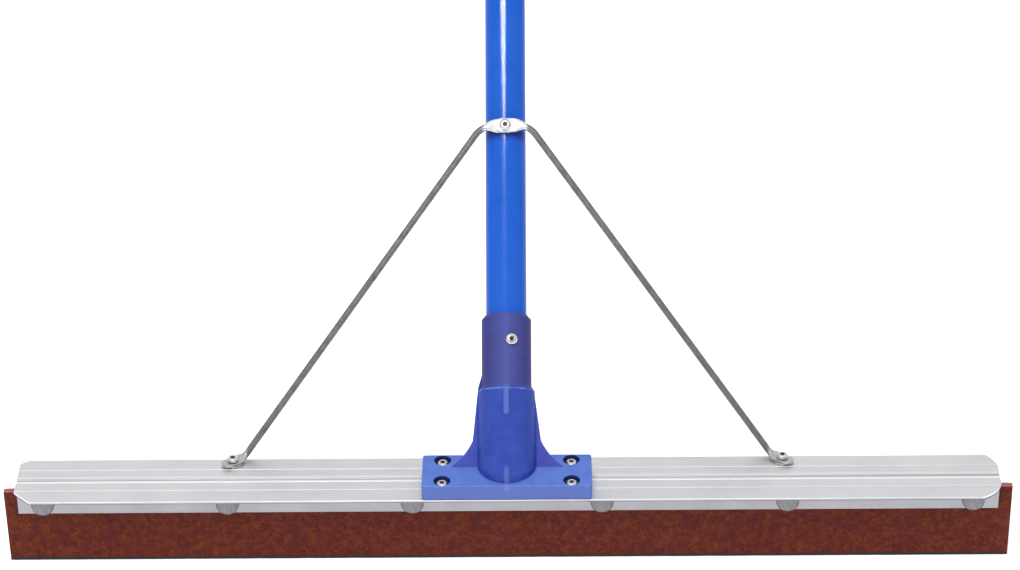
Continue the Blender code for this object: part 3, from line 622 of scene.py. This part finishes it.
def bright_zinc():
    """The small fasteners' finish, with painted shade in the bolts' hexagon recesses."""
    s = Shader("bright_zinc", Metallic=1.0)
    clouds = s.noise(260, 4, 0.6)
    scuffs = s.noise(1500, 3, 0.7)
    colour = s.ramp(clouds, (0.3, (0.60, 0.60, 0.58)), (0.7, (0.76, 0.76, 0.75)))
    # Painted shade: the hexagon recesses are darkened to near black.
    from_axis = s.add("ShaderNodeVectorMath", {0: s.stretched((1, 1, 0))}, operation="LENGTH")
    flats = BOLT_SOCKET_FLATS
    in_recess = s.span(from_axis.outputs["Value"], 0.55 * flats, 0.5 * flats, 0, 0.95)
    above_seat = s.span(s.split(s.place, "Z"), 0, 0.5 * MM, 0, 1)
    colour = s.mix(s.product(in_recess, above_seat), colour, (0.03, 0.03, 0.035))
    return s.surface(colour, clouds, (0.36, 0.24), scuffs, (0.2, 0.04 * MM))


def shaded_zinc():
    """The blade bolts' finish: dull and spotted, and a darker grey as painted shade under the plate's
    overhang.
    """
    s = Shader("shaded_zinc", Metallic=1.0)
    clouds = s.noise(320, 5, 0.65)
    spots = s.noise(1100, 4, 0.7)
    # Painted shade: the whole colour is a darker copy of the zinc, for the shade under the plate's
    # front edge.
    colour = s.ramp(clouds, (0.3, (0.16, 0.157, 0.165)), (0.7, (0.27, 0.267, 0.275)))
    colour = s.mix(s.span(spots, 0.56, 0.7, 0, 0.6), colour, (0.12, 0.115, 0.12))
    return s.surface(colour, clouds, (0.52, 0.4), spots, (0.3, 0.05 * MM))


def dull_zinc():
    """Rod steel: grey zinc with dark spots, with painted highlights on the flat tabs at its ends."""
    s = Shader("dull_zinc_rod", Metallic=1.0)
    clouds = s.noise(140, 6, 0.65)
    spots = s.noise(650, 4, 0.7)
    colour = s.ramp(clouds, (0.3, (0.17, 0.17, 0.16)), (0.7, (0.29, 0.29, 0.28)))
    aside = s.math("ABSOLUTE", s.split(s.place, "X"))
    # Painted highlights: the flat tabs at both ends are mixed towards a bright grey.
    upper_tab = s.span(aside, ELBOW_OUT - 3 * MM, ELBOW_OUT, 1, 0)
    lower_tab = s.span(aside, LOWER_TAB_AT, LOWER_TAB_AT + 3 * MM, 0, 0.6)
    colour = s.mix(s.math("MAXIMUM", upper_tab, lower_tab), colour, (0.80, 0.80, 0.78))
    colour = s.mix(s.span(spots, 0.56, 0.7, 0, 0.75), colour, (0.05, 0.048, 0.042))
    return s.surface(colour, clouds, (0.5, 0.36), spots, (0.3, 0.06 * MM))


def black_vinyl():
    s = Shader("black_vinyl_grip", Specular_IOR_Level=0.4)
    grain = s.noise(1200, 4, 0.7)
    clouds = s.noise(60, 4, 0.6)
    colour = s.ramp(clouds, (0.3, (0.012, 0.012, 0.013)), (0.7, (0.026, 0.026, 0.028)))
    return s.surface(colour, clouds, (0.5, 0.62), grain, (0.4, 0.1 * MM))


def finish(target, body, slot, *nodes):
    """Says what a piece rides on and which CAD nodes it stands for; slot, its finish, is not used."""
    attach(target, body)
    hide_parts(*nodes)


# Head --------------------------------------------------------------------------------------


def blade_drills():
    """Drills along Y through the flange and the blade, one on each blade bolt's axis."""
    reach = 20 * MM
    drills = []
    for node in BLADE_BOLTS:
        low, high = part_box(node)
        middle = Vector(((low.x + high.x) / 2, 0, (low.z + high.z) / 2))
        turn = Matrix.Translation(middle) @ FACING_FRONT
        drills.append(round_bar(BLADE_BOLT_R + CLEARANCE, -reach, reach, turn))
    return drills


def down_drills(radius, low, high, nodes):
    drills = []
    for node in nodes:
        place, _, _ = own_place(node)
        at = Matrix.Translation((place.translation.x, place.translation.y, 0))
        drills.append(round_bar(radius, low, high, at))
    return drills


def bead(centre):
    return arc((centre, PLATE_TOP), (BEAD_WIDTH / 2, BEAD_HEIGHT), 0, 180, 12)


def groove():
    """A shallow channel between two raised lips, listed from its rear to its front."""
    rear_lip = GROOVE_AT + GROOVE_WIDTH / 2 + GROOVE_LIP
    front_lip = GROOVE_AT - GROOVE_WIDTH / 2 - GROOVE_LIP
    bottom = PLATE_TOP - GROOVE_DEPTH
    points = arc((rear_lip, PLATE_TOP), (GROOVE_LIP, BEAD_HEIGHT), 0, 150, 10)
    points += arc((GROOVE_AT, bottom + GROOVE_WIDTH / 2), GROOVE_WIDTH / 2, -20, -160, 10)
    points += arc((front_lip, PLATE_TOP), (GROOVE_LIP, BEAD_HEIGHT), 30, 180, 10)
    return points


def frame_outline():
    """The extrusion's section as (Y, Z): the plate with its beads and groove, and the flange."""
    edge = PLATE_THICKNESS / 2
    outline = arc((FRAME_HIGH.y - edge, UNDERSIDE + edge), edge, -90, 90, 12)
    outline += bead(REAR_BEAD_AT) + groove() + bead(FRONT_BEAD_AT)
    outline += arc((FRAME_LOW.y + edge, UNDERSIDE + edge), edge, 90, 270, 12)
    outline += arc((FLANGE_FRONT - FILLET, UNDERSIDE - FILLET), FILLET, 90, 0, 5)
    for y, start in ((FLANGE_FRONT + FLANGE_TOE, 180), (FLANGE_BACK - FLANGE_TOE, 270)):
        outline += arc((y, FRAME_LOW.z + FLANGE_TOE), FLANGE_TOE, start, start + 90, 5)
    outline.append((FLANGE_BACK, UNDERSIDE))
    return outline


def curve(start, pull, end, steps):
    """Points of a curve that leaves the start towards the pull and comes from it to the end."""
    points = []
    for i in range(steps + 1):
        t = i / steps
        points.append(start * (1 - t) ** 2 + pull * 2 * t * (1 - t) + end * t**2)
    return points


def corner_cut(side_x, side_y):
    """What is cut off one corner of the plate."""
    start, pull, end = (Vector(point) * MM for point in CORNERS[side_x, side_y])
    local = [(start.x, -CUT)] + [tuple(point) for point in curve(start, pull, end, 18)]
    local += [(-CUT, end.y), (-CUT, -CUT)]
    edge = FRAME_HIGH.y if side_y > 0 else FRAME_LOW.y
    outline = [(side_x * (FRAME_HIGH.x - a), edge - side_y * b) for a, b in local]
    return extruded(outline, UNDERSIDE - CUT, PLATE_TOP + CUT, "Z")


def flange_end(side):
    """What is cut off one end of the flange, up to the plate's underside."""
    ends = sorted((side * (FRAME_HIGH.x - FLANGE_SHORT), side * (FRAME_HIGH.x + CUT)))
    front, rear = FLANGE_FRONT - CUT, FLANGE_BACK + CUT
    low, high = FRAME_LOW.z - CUT, UNDERSIDE
    return extruded([(front, low), (rear, low), (rear, high), (front, high)], *ends, "X")


def head_frame(aluminium):
    section = extruded(frame_outline(), FRAME_LOW.x, FRAME_HIGH.x, "X")
    head = piece("aluminium_head", section, aluminium)
    combine(head, "DIFFERENCE", *[corner_cut(*corner) for corner in CORNERS])
    combine(head, "DIFFERENCE", flange_end(-1), flange_end(1))
    combine(head, "DIFFERENCE", *blade_drills())
    plate = down_drills(BOLT_HOLE, UNDERSIDE - CUT, PLATE_TOP + CUT, BASE_BOLTS + FOOT_BOLTS)
    combine(head, "DIFFERENCE", *plate)
    settle(head, 30)
    finish(head, BODY, "mill_aluminium", "frame_extrusion")


def blade_sheet(rubber):
    """The rubber strip: a fine skin over its section, softened at the cut edges and barely uneven."""
    half = (BLADE_HIGH.y - BLADE_LOW.y) / 2
    soft = 0.5 * MM
    rows = 30
    columns = 180
    height = BLADE_HIGH.z - BLADE_LOW.z
    outline = []
    for side in (-1, 1):
        face = [soft + (height - 2 * soft) * i / rows for i in range(rows + 1)]
        for z in face if side > 0 else reversed(face):
            outline.append((side * half, z))
        end = height if side > 0 else 0
        turn_from = 0 if side > 0 else 180
        corner = (side * (half - soft), end - side * soft)
        outline += arc(corner, soft, turn_from + 15, turn_from + 75, 4)
        other = (-corner[0], corner[1])
        outline += arc(other, soft, turn_from + 105, turn_from + 165, 4)
    rings = []
    for i in range(columns + 1):
        x = BLADE_LOW.x + (BLADE_HIGH.x - BLADE_LOW.x) * i / columns
        trim = 0.25 * MM if i in (0, columns) else 0
        ring = []
        for y, z in outline:
            wave = noise.noise((x * 14, y * 60, z * 30)) * 0.12 * MM
            lift = abs(noise.noise((x * 45, 7, 1))) * 0.35 * MM if z < 3 * MM else 0
            inner = 1 - trim / half
            ring.append((x, y * inner - math.copysign(abs(wave), y), z * (1 - trim / height) + lift))
        rings.append(ring)
    sheet = piece("rubber_sheet", skin(rings), rubber)
    combine(sheet, "DIFFERENCE", *blade_drills(), solver="MANIFOLD")
    settle(sheet)
    heights = sheet.data.attributes.new("height", "FLOAT", "POINT")
    heights.data.foreach_set("value", [v.co.z for v in sheet.data.vertices])
    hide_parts("rubber_blade")
    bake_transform(sheet)


# Fasteners ---------------------------------------------------------------------------------


def thread_rings(radius, pitch, low, high):
    """Rings of a helical thread: each vertex's reach follows a triangle wave round and up the shank."""
    steps = round((high - low) / (pitch / 6))
    rings = []
    for k in range(steps + 1):
        z = low + (high - low) * k / steps
        fade = min(1, k / 6, (steps - k) / 6)
        ring = []
        for i in range(SIDES):
            turn = i / SIDES
            phase = (z / pitch - turn) % 1
            reach = radius - fade * 0.42 * pitch * (1 - abs(2 * phase - 1))
            angle = 2 * math.pi * turn
            ring.append((reach * math.cos(angle), reach * math.sin(angle), z))
        rings.append(ring)
    return rings


def bolt_mesh(radius, pitch, length, head):
    """A bolt with its seat at height 0 and its end at -length, threaded near the end."""
    chamfer = 0.2 * radius
    start = -length + chamfer
    shank = [(ROUND, 0, -length), (ROUND, radius - chamfer, -length)]
    rings = [turned_ring(*step, SIDES) for step in shank]
    rings += thread_rings(radius, pitch, start, start + min(THREADED, 0.8 * (length - chamfer)))
    rings += [turned_ring(*step, SIDES) for step in [(ROUND, radius, 0)] + head]
    return skin(rings)


def button_head():
    socket = BOLT_HEAD_H - BOLT_SOCKET_DEPTH
    flat = BOLT_HEAD_R / 2
    lead = 0.25 * MM
    steps = [(ROUND, BOLT_HEAD_R - lead, 0), (ROUND, BOLT_HEAD_R, lead)]
    steps += round_steps((flat, HEAD_RIM), (BOLT_HEAD_R - flat, BOLT_HEAD_H - HEAD_RIM), 0, 90, 10)
    steps.append((ROUND, BOLT_SOCKET_FLATS / 2 * 1.22, BOLT_HEAD_H))
    steps.append((HEXAGON, BOLT_SOCKET_FLATS / 2, BOLT_HEAD_H - lead))
    steps.append((HEXAGON, BOLT_SOCKET_FLATS / 2, socket))
    steps.append((ROUND, 0, socket - 2 * lead))
    return steps


def mushroom_head():
    lead = 0.3 * MM
    steps = [(ROUND, BLADE_BOLT_HEAD_R - lead, 0), (ROUND, BLADE_BOLT_HEAD_R, lead)]
    size = (BLADE_BOLT_HEAD_R, BLADE_BOLT_HEAD_H - BLADE_BOLT_RIM)
    steps += round_steps((0, BLADE_BOLT_RIM), size, 0, 84, 14)
    steps.append((ROUND, 0, BLADE_BOLT_HEAD_H))
    return steps


def bolt(node, radius, pitch, head, head_height, zinc):
    place, low, high = own_place(node)
    mesh = bolt_mesh(radius, pitch, high - head_height - low, head)
    seat = place @ Matrix.Translation((0, 0, high - head_height))
    made = piece(f"{node}_threaded", mesh, zinc, seat)
    finish(made, BODY, "zinc_plated_steel", node)


def widest(node, place):
    """The furthest that a node reaches from its own axis."""
    into = place.inverted()
    local = [into @ v.co for v in frame["nodes"][node].data.vertices]
    return max(math.hypot(point.x, point.y) for point in local)


def nut(node, hole, zinc):
    """A hexagon nut whose corners are chamfered by a cone at both faces."""
    place, low, high = own_place(node)
    corner = widest(node, place)
    half = corner * math.cos(math.pi / 6)
    drop = (corner - 0.97 * half) * math.tan(math.radians(30))
    rings = [turned_ring(ROUND, hole, low, SIDES)]
    heights = [low + drop * i / 5 for i in range(6)]
    for z in heights + [low + high - z for z in reversed(heights)]:
        limit = 0.97 * half + min(z - low, high - z) / math.tan(math.radians(30))
        ring = []
        for i in range(SIDES):
            angle = 2 * math.pi * i / SIDES
            reach = min(hexagon_reach(half, angle), limit)
            ring.append((reach * math.cos(angle), reach * math.sin(angle), z))
        rings.append(ring)
    rings.append(turned_ring(ROUND, hole, high, SIDES))
    made = piece(f"{node}_chamfered", skin(rings, closed=True), zinc, place)
    finish(made, BODY, "zinc_plated_steel", node)


def washer(node, hole, zinc):
    place, low, high = own_place(node)
    radius = widest(node, place)
    soft = 0.25 * MM
    profile = [(ROUND, hole, low), (ROUND, radius - soft, low)]
    profile += round_steps((radius - soft, low + soft), soft, -60, 0, 3)
    profile += round_steps((radius - soft, high - soft), soft, 0, 60, 3)
    profile += [(ROUND, radius - soft, high), (ROUND, hole, high)]
    made = piece(f"{node}_stamped", turned(profile, closed=True), zinc, place)
    finish(made, BODY, "zinc_plated_steel", node)


def fasteners(bright, shaded):
    for node in frame["nodes"]:
        large = node.startswith("blade_")
        # The blade bolts take the darker zinc, which paints the shade that they sit in.
        zinc = shaded if large else bright
        radius = BLADE_BOLT_R if large else BOLT_R
        if "_bolt" in node:
            pitch = BLADE_THREAD_PITCH if large else BOLT_THREAD_PITCH
            head = mushroom_head() if large else button_head()
            bolt(node, radius, pitch, head, BLADE_BOLT_HEAD_H if large else BOLT_HEAD_H, zinc)
        elif "_nut" in node:
            nut(node, radius + CLEARANCE, zinc)
        elif "_washer" in node:
            washer(node, radius + CLEARANCE, zinc)


# Handle socket -----------------------------------------------------------------------------


def socket_tube():
    profile = [
        (ROUND, 0, -BODY_BELOW),
        (ROUND, BODY_FOOT_R, -BODY_BELOW),
        (ROUND, BODY_FOOT_R, -BURIED),
        (ROUND, BODY_TOP_R, SHOULDER_START),
        (ROUND, COLLAR_R, SHOULDER_END),
        (ROUND, COLLAR_R, COLLAR_CHAMFER_START),
        (ROUND, HANDLE_R + 2 * GAP, COLLAR_END),
        (ROUND, 0, COLLAR_END),
    ]
    tube = turned(profile, 120)
    tube.transform(TUBE)
    return tube


def heel():
    rise = (HEEL_BACK - AXIS_Y) / math.tan(TILT)
    drop = BASE_TOP - SOCKET_LOW.z - GAP
    outline = [
        (AXIS_Y - drop * math.tan(TILT), BASE_TOP - drop),
        (HEEL_BACK, BASE_TOP - drop),
        (HEEL_BACK, BASE_TOP + rise),
    ]
    return extruded(outline, -HEEL_HALF_WIDTH, HEEL_HALF_WIDTH, "X")


def foot_limits():
    """What the tube is trimmed to in plan: a rounded front, and open to the rear."""
    half = BODY_FOOT_R - 0.1 * MM
    far = 250 * MM
    outline = arc((0, AXIS_Y), (half, FOOT_REACH), 180, 360, 61)
    outline += [(half, far), (-half, far)]
    return extruded(outline, SOCKET_LOW.z + GAP, 2 * far, "Z")


def base_block():
    rings = []
    for inset, height in [(0, SOCKET_LOW.z)] + [
        (BASE_EDGE - across, BASE_TOP - BASE_EDGE + up)
        for across, up in arc((0, 0), BASE_EDGE, 0, 90, 4)
    ]:
        outline = rounded_rectangle(BASE_LENGTH / 2 - inset, BASE_DEPTH / 2 - inset, BASE_CORNER)
        rings.append([(x, y, height) for x, y in outline])
    return skin(rings)


def side_webs():
    """Both gussets as one slab in the handle's own plane, flaring out towards the base."""
    below = -8 * MM
    foot = Vector((WEB_FOOT, -BURIED / 2))
    pull = Vector(WEB_PULL)
    waist = Vector(WEB_WAIST)
    edge = [(WEB_FOOT, below)] + [tuple(point) for point in curve(foot, pull, waist, 16)]
    outline = edge + [(BODY_TOP_R - 0.5 * MM, SHOULDER_START - 0.5 * MM)]
    outline += [(-x, along) for x, along in reversed(edge + list(TALL_WEB))]
    slab = extruded(outline, -WEB_THICKNESS / 2, WEB_THICKNESS / 2, "Y")
    slab.transform(TUBE)
    return slab


def front_ribs():
    """Two low ribs on the front: one under the shoulder and one down to the foot."""
    half = RIB_WIDTH / 2
    proud = BODY_FOOT_R + RIB_HEIGHT
    buried = BODY_TOP_R - 3 * MM
    upper_front = -proud + 0.5 * MM
    upper_end = SHOULDER_START - 0.4 * MM
    outline = [
        (upper_front, FRONT_RIB_START),
        (-buried, FRONT_RIB_START),
        (-buried, upper_end),
        (upper_front, upper_end),
    ]
    upper = extruded(outline, -half, half, "X")
    upper.transform(TUBE)
    face = AXIS_Y - FOOT_REACH - RIB_HEIGHT
    top = TUBE @ Vector((0, -proud, FOOT_RIB_END))
    inner = TUBE @ Vector((0, -buried, FOOT_RIB_END))
    knee_z = top.z - (top.y - face) / math.tan(TILT)
    low_z = BASE_TOP - 3 * MM
    outline = [(top.y, top.z), (face, knee_z), (face, low_z), (inner.y, low_z), (inner.y, inner.z)]
    return upper, extruded(outline, -half, half, "X")


def cross_drill(node, radius):
    """A drill along a cross bolt's own axis."""
    place, _, _ = own_place(node)
    return round_bar(radius, -2 * COLLAR_R, 2 * COLLAR_R, place)


def handle_socket(plastic):
    """The moulding: its shapes are fused, drilled and softened to the radii of a real moulding."""
    socket = piece("socket_moulding", socket_tube(), plastic)
    combine(socket, "UNION", heel())
    combine(socket, "INTERSECT", foot_limits())
    combine(socket, "UNION", side_webs())
    combine(socket, "UNION", base_block())
    combine(socket, "UNION", *front_ribs())
    fuse = socket.modifiers.new("Fuse", "REMESH")
    fuse.mode = "VOXEL"
    fuse.voxel_size = VOXEL
    relax = socket.modifiers.new("Soften", "SMOOTH")
    relax.factor = 0.5
    relax.iterations = 2
    thin = socket.modifiers.new("Thin", "DECIMATE")
    thin.ratio = 0.35
    seat = BASE_TOP - COUNTERBORE_DEPTH
    for drills in (
        [round_bar(HANDLE_R + GAP, BORE_START, COLLAR_END + CUT, TUBE, 120)],
        [cross_drill("socket_bolt", BOLT_HOLE)],
        down_drills(COUNTERBORE_R, seat, BASE_TOP + CUT, BASE_BOLTS),
        down_drills(BOLT_HOLE, SOCKET_LOW.z - CUT, BASE_TOP, BASE_BOLTS),
    ):
        combine(socket, "DIFFERENCE", *drills, solver="MANIFOLD")
    settle(socket, 40)
    finish(socket, BODY, "blue_plastic", "handle_socket")


# Handle ------------------------------------------------------------------------------------


def handle_end():
    """How far along the tube ends, from the CAD tube's own length."""
    points = [TUBE.inverted() @ v.co for v in frame["nodes"]["handle_tube"].data.vertices]
    return max(point.z for point in points)


def handle_tube(coat):
    end = handle_end()
    inside = HANDLE_R - HANDLE_WALL
    steps = 24
    soft = 0.4 * MM
    profile = [(ROUND, HANDLE_R - soft, HANDLE_START)]
    low, high = HANDLE_START + soft, end - soft
    profile += [(ROUND, HANDLE_R, low + (high - low) * i / steps) for i in range(steps + 1)]
    profile += [(ROUND, HANDLE_R - soft, end), (ROUND, inside, end), (ROUND, inside, HANDLE_START)]
    tube = piece("coated_tube", turned(profile, 144, closed=True), coat, TUBE)
    to_local = TUBE.inverted()
    for node in ("socket_bolt", "brace_top_bolt"):
        drill = cross_drill(node, BOLT_HOLE)
        drill.transform(to_local)
        combine(tube, "DIFFERENCE", drill, solver="MANIFOLD")
    settle(tube)
    finish(tube, BODY, "blue_powder_coat", "handle_tube")
    return tube


def handle_grip(vinyl):
    inner = HANDLE_R + GAP
    outer = inner + GRIP_WALL
    inner_end = handle_end() + GAP
    mouth = inner_end - GRIP_LENGTH
    lip = 0.6 * MM
    profile = [(ROUND, 0, inner_end), (ROUND, inner, inner_end), (ROUND, inner, mouth)]
    profile += round_steps((outer - lip, mouth + lip), lip, -90, 0, 4)
    for i in range(GRIP_RIBS):
        start = mouth + (i + 1) * GRIP_RIB_PITCH
        for k in range(13):
            rise = 0.5 - 0.5 * math.cos(2 * math.pi * k / 12)
            profile.append((ROUND, outer + GRIP_RIB_H * rise, start + 4 * MM * k / 12))
    profile += round_steps((outer - GRIP_ROUND, inner_end), (GRIP_ROUND, GRIP_WALL), 0, 90, 12)
    profile.append((ROUND, 0, inner_end + GRIP_WALL))
    grip = piece("vinyl_sleeve", turned(profile, 96), vinyl, TUBE)
    finish(grip, BODY, "black_vinyl", "handle_grip")


# Braces ------------------------------------------------------------------------------------


def rounded_route(corners, radii):
    """A dense line through the corners, with each inner corner replaced by an arc."""
    route = [corners[0]]
    for before, corner, after, radius in zip(corners, corners[1:], corners[2:], radii):
        to_start = (before - corner).normalized()
        to_end = (after - corner).normalized()
        half_angle = to_start.angle(to_end) / 2
        back = radius / math.tan(half_angle)
        middle = corner + (to_start + to_end).normalized() * radius / math.sin(half_angle)
        first = corner + to_start * back - middle
        last = corner + to_end * back - middle
        route += [middle + first.slerp(last, i / 24) * radius for i in range(25)]
    return route + [corners[-1]]


def point_on(route, distance):
    for start, end in zip(route, route[1:]):
        step = (end - start).length
        if distance <= step:
            return start.lerp(end, distance / step)
        distance -= step
    return route[-1]


def rod_stations(length):
    """Distances along a rod where its section is drawn: close at the tabs, wider between."""
    tip = [TAB_WIDTH / 2 * (1 - math.cos(math.radians(angle))) for angle in range(6, 91, 7)]
    dense = [TAB_WIDTH / 2 + 1.1 * MM * (step + 1) for step in range(36)]
    ends = tip + dense
    middle = 24
    span = length - 2 * ends[-1]
    between = [ends[-1] + span * i / middle for i in range(1, middle)]
    return ends + between + [length - distance for distance in reversed(ends)]


def rod_section(distance, length):
    """Half width, half thickness and squareness of a rod, which is flattened at both ends."""
    from_end = length - distance
    roundness = min(
        ease((distance - UPPER_FLAT) / UPPER_BLEND),
        ease((from_end - LOWER_FLAT) / LOWER_BLEND),
    )
    half_width = TAB_WIDTH / 2 + (ROD_R - TAB_WIDTH / 2) * roundness
    half_thickness = TAB_THICKNESS / 2 + (ROD_R - TAB_THICKNESS / 2) * roundness
    into_tip = min(distance, from_end) / (TAB_WIDTH / 2)
    if into_tip < 1:
        half_width *= math.sqrt(1 - (1 - into_tip) ** 2)
    return half_width, half_thickness, 0.45 + 0.55 * roundness


def rod_mesh(route, flat_up_start, flat_up_end):
    """A rod along a route. Its tabs face flat_up_start at one end and flat_up_end at the other."""
    length = sum((b - a).length for a, b in zip(route, route[1:]))
    nearby = 0.4 * MM
    rings = []
    for distance in rod_stations(length):
        centre = point_on(route, distance)
        behind = point_on(route, distance - nearby) if distance > nearby else route[0]
        tangent = (point_on(route, distance + nearby) - behind).normalized()
        turn = ease((distance - UPPER_FLAT) / UPPER_BLEND - 0.5)
        up = flat_up_start.lerp(flat_up_end, turn)
        up = (up - tangent * up.dot(tangent)).normalized()
        across = tangent.cross(up)
        half_width, half_thickness, power = rod_section(distance, length)
        ring = []
        for i in range(ROD_SIDES):
            angle = 2 * math.pi * (i + 0.5) / ROD_SIDES
            x = math.copysign(abs(math.cos(angle)) ** power, math.cos(angle))
            y = math.copysign(abs(math.sin(angle)) ** power, math.sin(angle))
            ring.append(centre + across * half_width * x + up * half_thickness * y)
        rings.append(ring)
    return skin(rings)


def brace(node, foot_node, side, layer, steel):
    """One rod from the handle's front down to the plate. layer 0 lies on the handle."""
    off_axis = HANDLE_R + GAP + TAB_THICKNESS / 2 + layer * (TAB_THICKNESS + GAP)
    upper_bolt = TUBE @ Vector((0, -off_axis, bolt_along("brace_top_bolt")))
    across = Vector((side, 0, 0))
    elbow = upper_bolt + across * ELBOW_OUT
    foot_bolt = own_place(foot_node)[0].translation
    foot_bolt.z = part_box(node)[0].z + TAB_THICKNESS / 2
    outward = foot_bolt - elbow
    outward.z = 0
    outward.normalize()
    corners = [
        upper_bolt - across * TAB_TIP,
        elbow,
        foot_bolt - outward * FOOT_BEND,
        foot_bolt + outward * FOOT_TIP,
    ]
    front = TUBE.to_3x3() @ Vector((0, -1, 0))
    route = rounded_route(corners, (ELBOW_R, FOOT_BEND_R))
    rod = piece(f"{node}_rod", rod_mesh(route, front, Vector((0, 0, 1))), steel)
    upper = cross_drill("brace_top_bolt", BOLT_HOLE)
    reach = 2 * TAB_THICKNESS
    lower = round_bar(BOLT_HOLE, -reach, reach, Matrix.Translation(foot_bolt))
    combine(rod, "DIFFERENCE", upper, lower, solver="MANIFOLD")
    settle(rod, 40)
    finish(rod, BODY, "grey_rod_steel", node)


# Studio ------------------------------------------------------------------------------------


def camera():
    data = bpy.data.cameras.new("camera")
    data.sensor_width = 36
    data.lens = 113.7
    data.clip_end = 100
    made = bpy.data.objects.new("camera", data)
    bpy.context.scene.collection.objects.link(made)
    yaw, pitch, roll = (math.radians(angle) for angle in (-0.83, 32.26, -0.83))
    turn = Matrix.Rotation(-yaw, 4, "Z") @ Matrix.Rotation(math.pi / 2 - pitch, 4, "X")
    made.matrix_world = (
        Matrix.Translation((0.0405, -2.4268, 1.8326)) @ turn @ Matrix.Rotation(roll, 4, "Z")
    )
    bpy.context.scene.camera = made


def area_light(name, place, aim, size, power, in_reflections=True):
    """A light that is seen either in reflections only, or by matt surfaces only."""
    data = bpy.data.lights.new(name, "AREA")
    data.shape = "RECTANGLE"
    data.size, data.size_y = size
    data.energy = power
    made = bpy.data.objects.new(name, data)
    made.location = place
    made.rotation_euler = (Vector(aim) - Vector(place)).to_track_quat("-Z", "Y").to_euler()
    made.visible_camera = False
    made.visible_glossy = in_reflections
    made.visible_diffuse = not in_reflections
    bpy.context.scene.collection.objects.link(made)
    return made


def is_metal(made):
    materials = made.data.materials if made.type == "MESH" else []
    shaders = [finish.node_tree.nodes["Principled BSDF"] for finish in materials]
    return any(shader.inputs["Metallic"].default_value == 1 for shader in shaders)


def light_only(light, *targets):
    """Keeps a light to these pieces."""
    lit = bpy.data.collections.new(f"{light.name}_targets")
    for target in targets:
        lit.objects.link(target)
    light.light_linking.receiver_collection = lit


def studio():
    """Pale walls that are brightest overhead and behind, a soft key in front and a pale floor."""
    world = bpy.data.worlds.new("studio")
    world.use_nodes = True
    nodes, links = world.node_tree.nodes, world.node_tree.links
    nodes["Background"].inputs["Color"].default_value = (1, 1, 1, 1)
    direction = nodes.new("ShaderNodeTexCoord").outputs["Generated"]
    upward = nodes.new("ShaderNodeVectorMath")
    upward.operation = "DOT_PRODUCT"
    upward.inputs[1].default_value = (0, 0.64, 0.77)
    level = nodes.new("ShaderNodeMapRange")
    level.interpolation_type = "SMOOTHSTEP"
    for socket, value in zip((1, 2, 3, 4), (-0.6, 0.75, 0.36, 0.88)):
        level.inputs[socket].default_value = value
    links.new(direction, upward.inputs[0])
    links.new(upward.outputs["Value"], level.inputs["Value"])
    links.new(level.outputs[0], nodes["Background"].inputs["Strength"])
    bpy.context.scene.world = world
    area_light("key", (-0.45, -1.3, 3.2), (0, 0.1, 0.1), (1.2, 1.2), 75, in_reflections=False)
    floor = bmesh.new()
    bmesh.ops.create_grid(floor, x_segments=2, y_segments=2, size=30)
    paper = Shader("pale_floor", Base_Color=(0.9, 0.9, 0.9, 1), Roughness=0.9)
    paper.principled.inputs["Emission Color"].default_value = (1, 1, 1, 1)
    paper.principled.inputs["Emission Strength"].default_value = 0.45
    paper.feed(Roughness=paper.span(paper.noise(3), 0, 1, 0.85, 0.95))
    ground = place_object("floor", mesh_data("floor", floor, paper.material))
    ground.location.z = -0.2 * MM
    bpy.context.scene.view_settings.view_transform = "Standard"


def reflections(tube, metal):
    """Two lights that are only seen in reflections: the handle's white streak and the metal's sheen."""
    streak = area_light("streak", (-0.52, -0.47, 2.285), (0, 0.28, 0.39), (1.5, 0.8), 480)
    streak.data.shape = "ELLIPSE"
    light_only(streak, tube)
    sheen = area_light("sheen", (-0.3, -1.4, 2.5), (0, 0.1, 0.2), (1.3, 1.3), 20)
    light_only(sheen, *metal)


camera()
studio()
aluminium = extruded_aluminium()
head_frame(aluminium)
frame["nodes"]["rear_clamp_bar"].data.materials[0] = aluminium
blade_sheet(red_rubber())
fasteners(bright_zinc(), shaded_zinc())
handle_socket(moulded_plastic())
tube = handle_tube(powder_coat())
handle_grip(black_vinyl())
rod_steel = dull_zinc()
brace("brace_left", "brace_foot_bolt_1", -1, 0, rod_steel)
brace("brace_right", "brace_foot_bolt_2", 1, 1, rod_steel)
reflections(tube, [made for made in bpy.context.scene.objects if is_metal(made)])
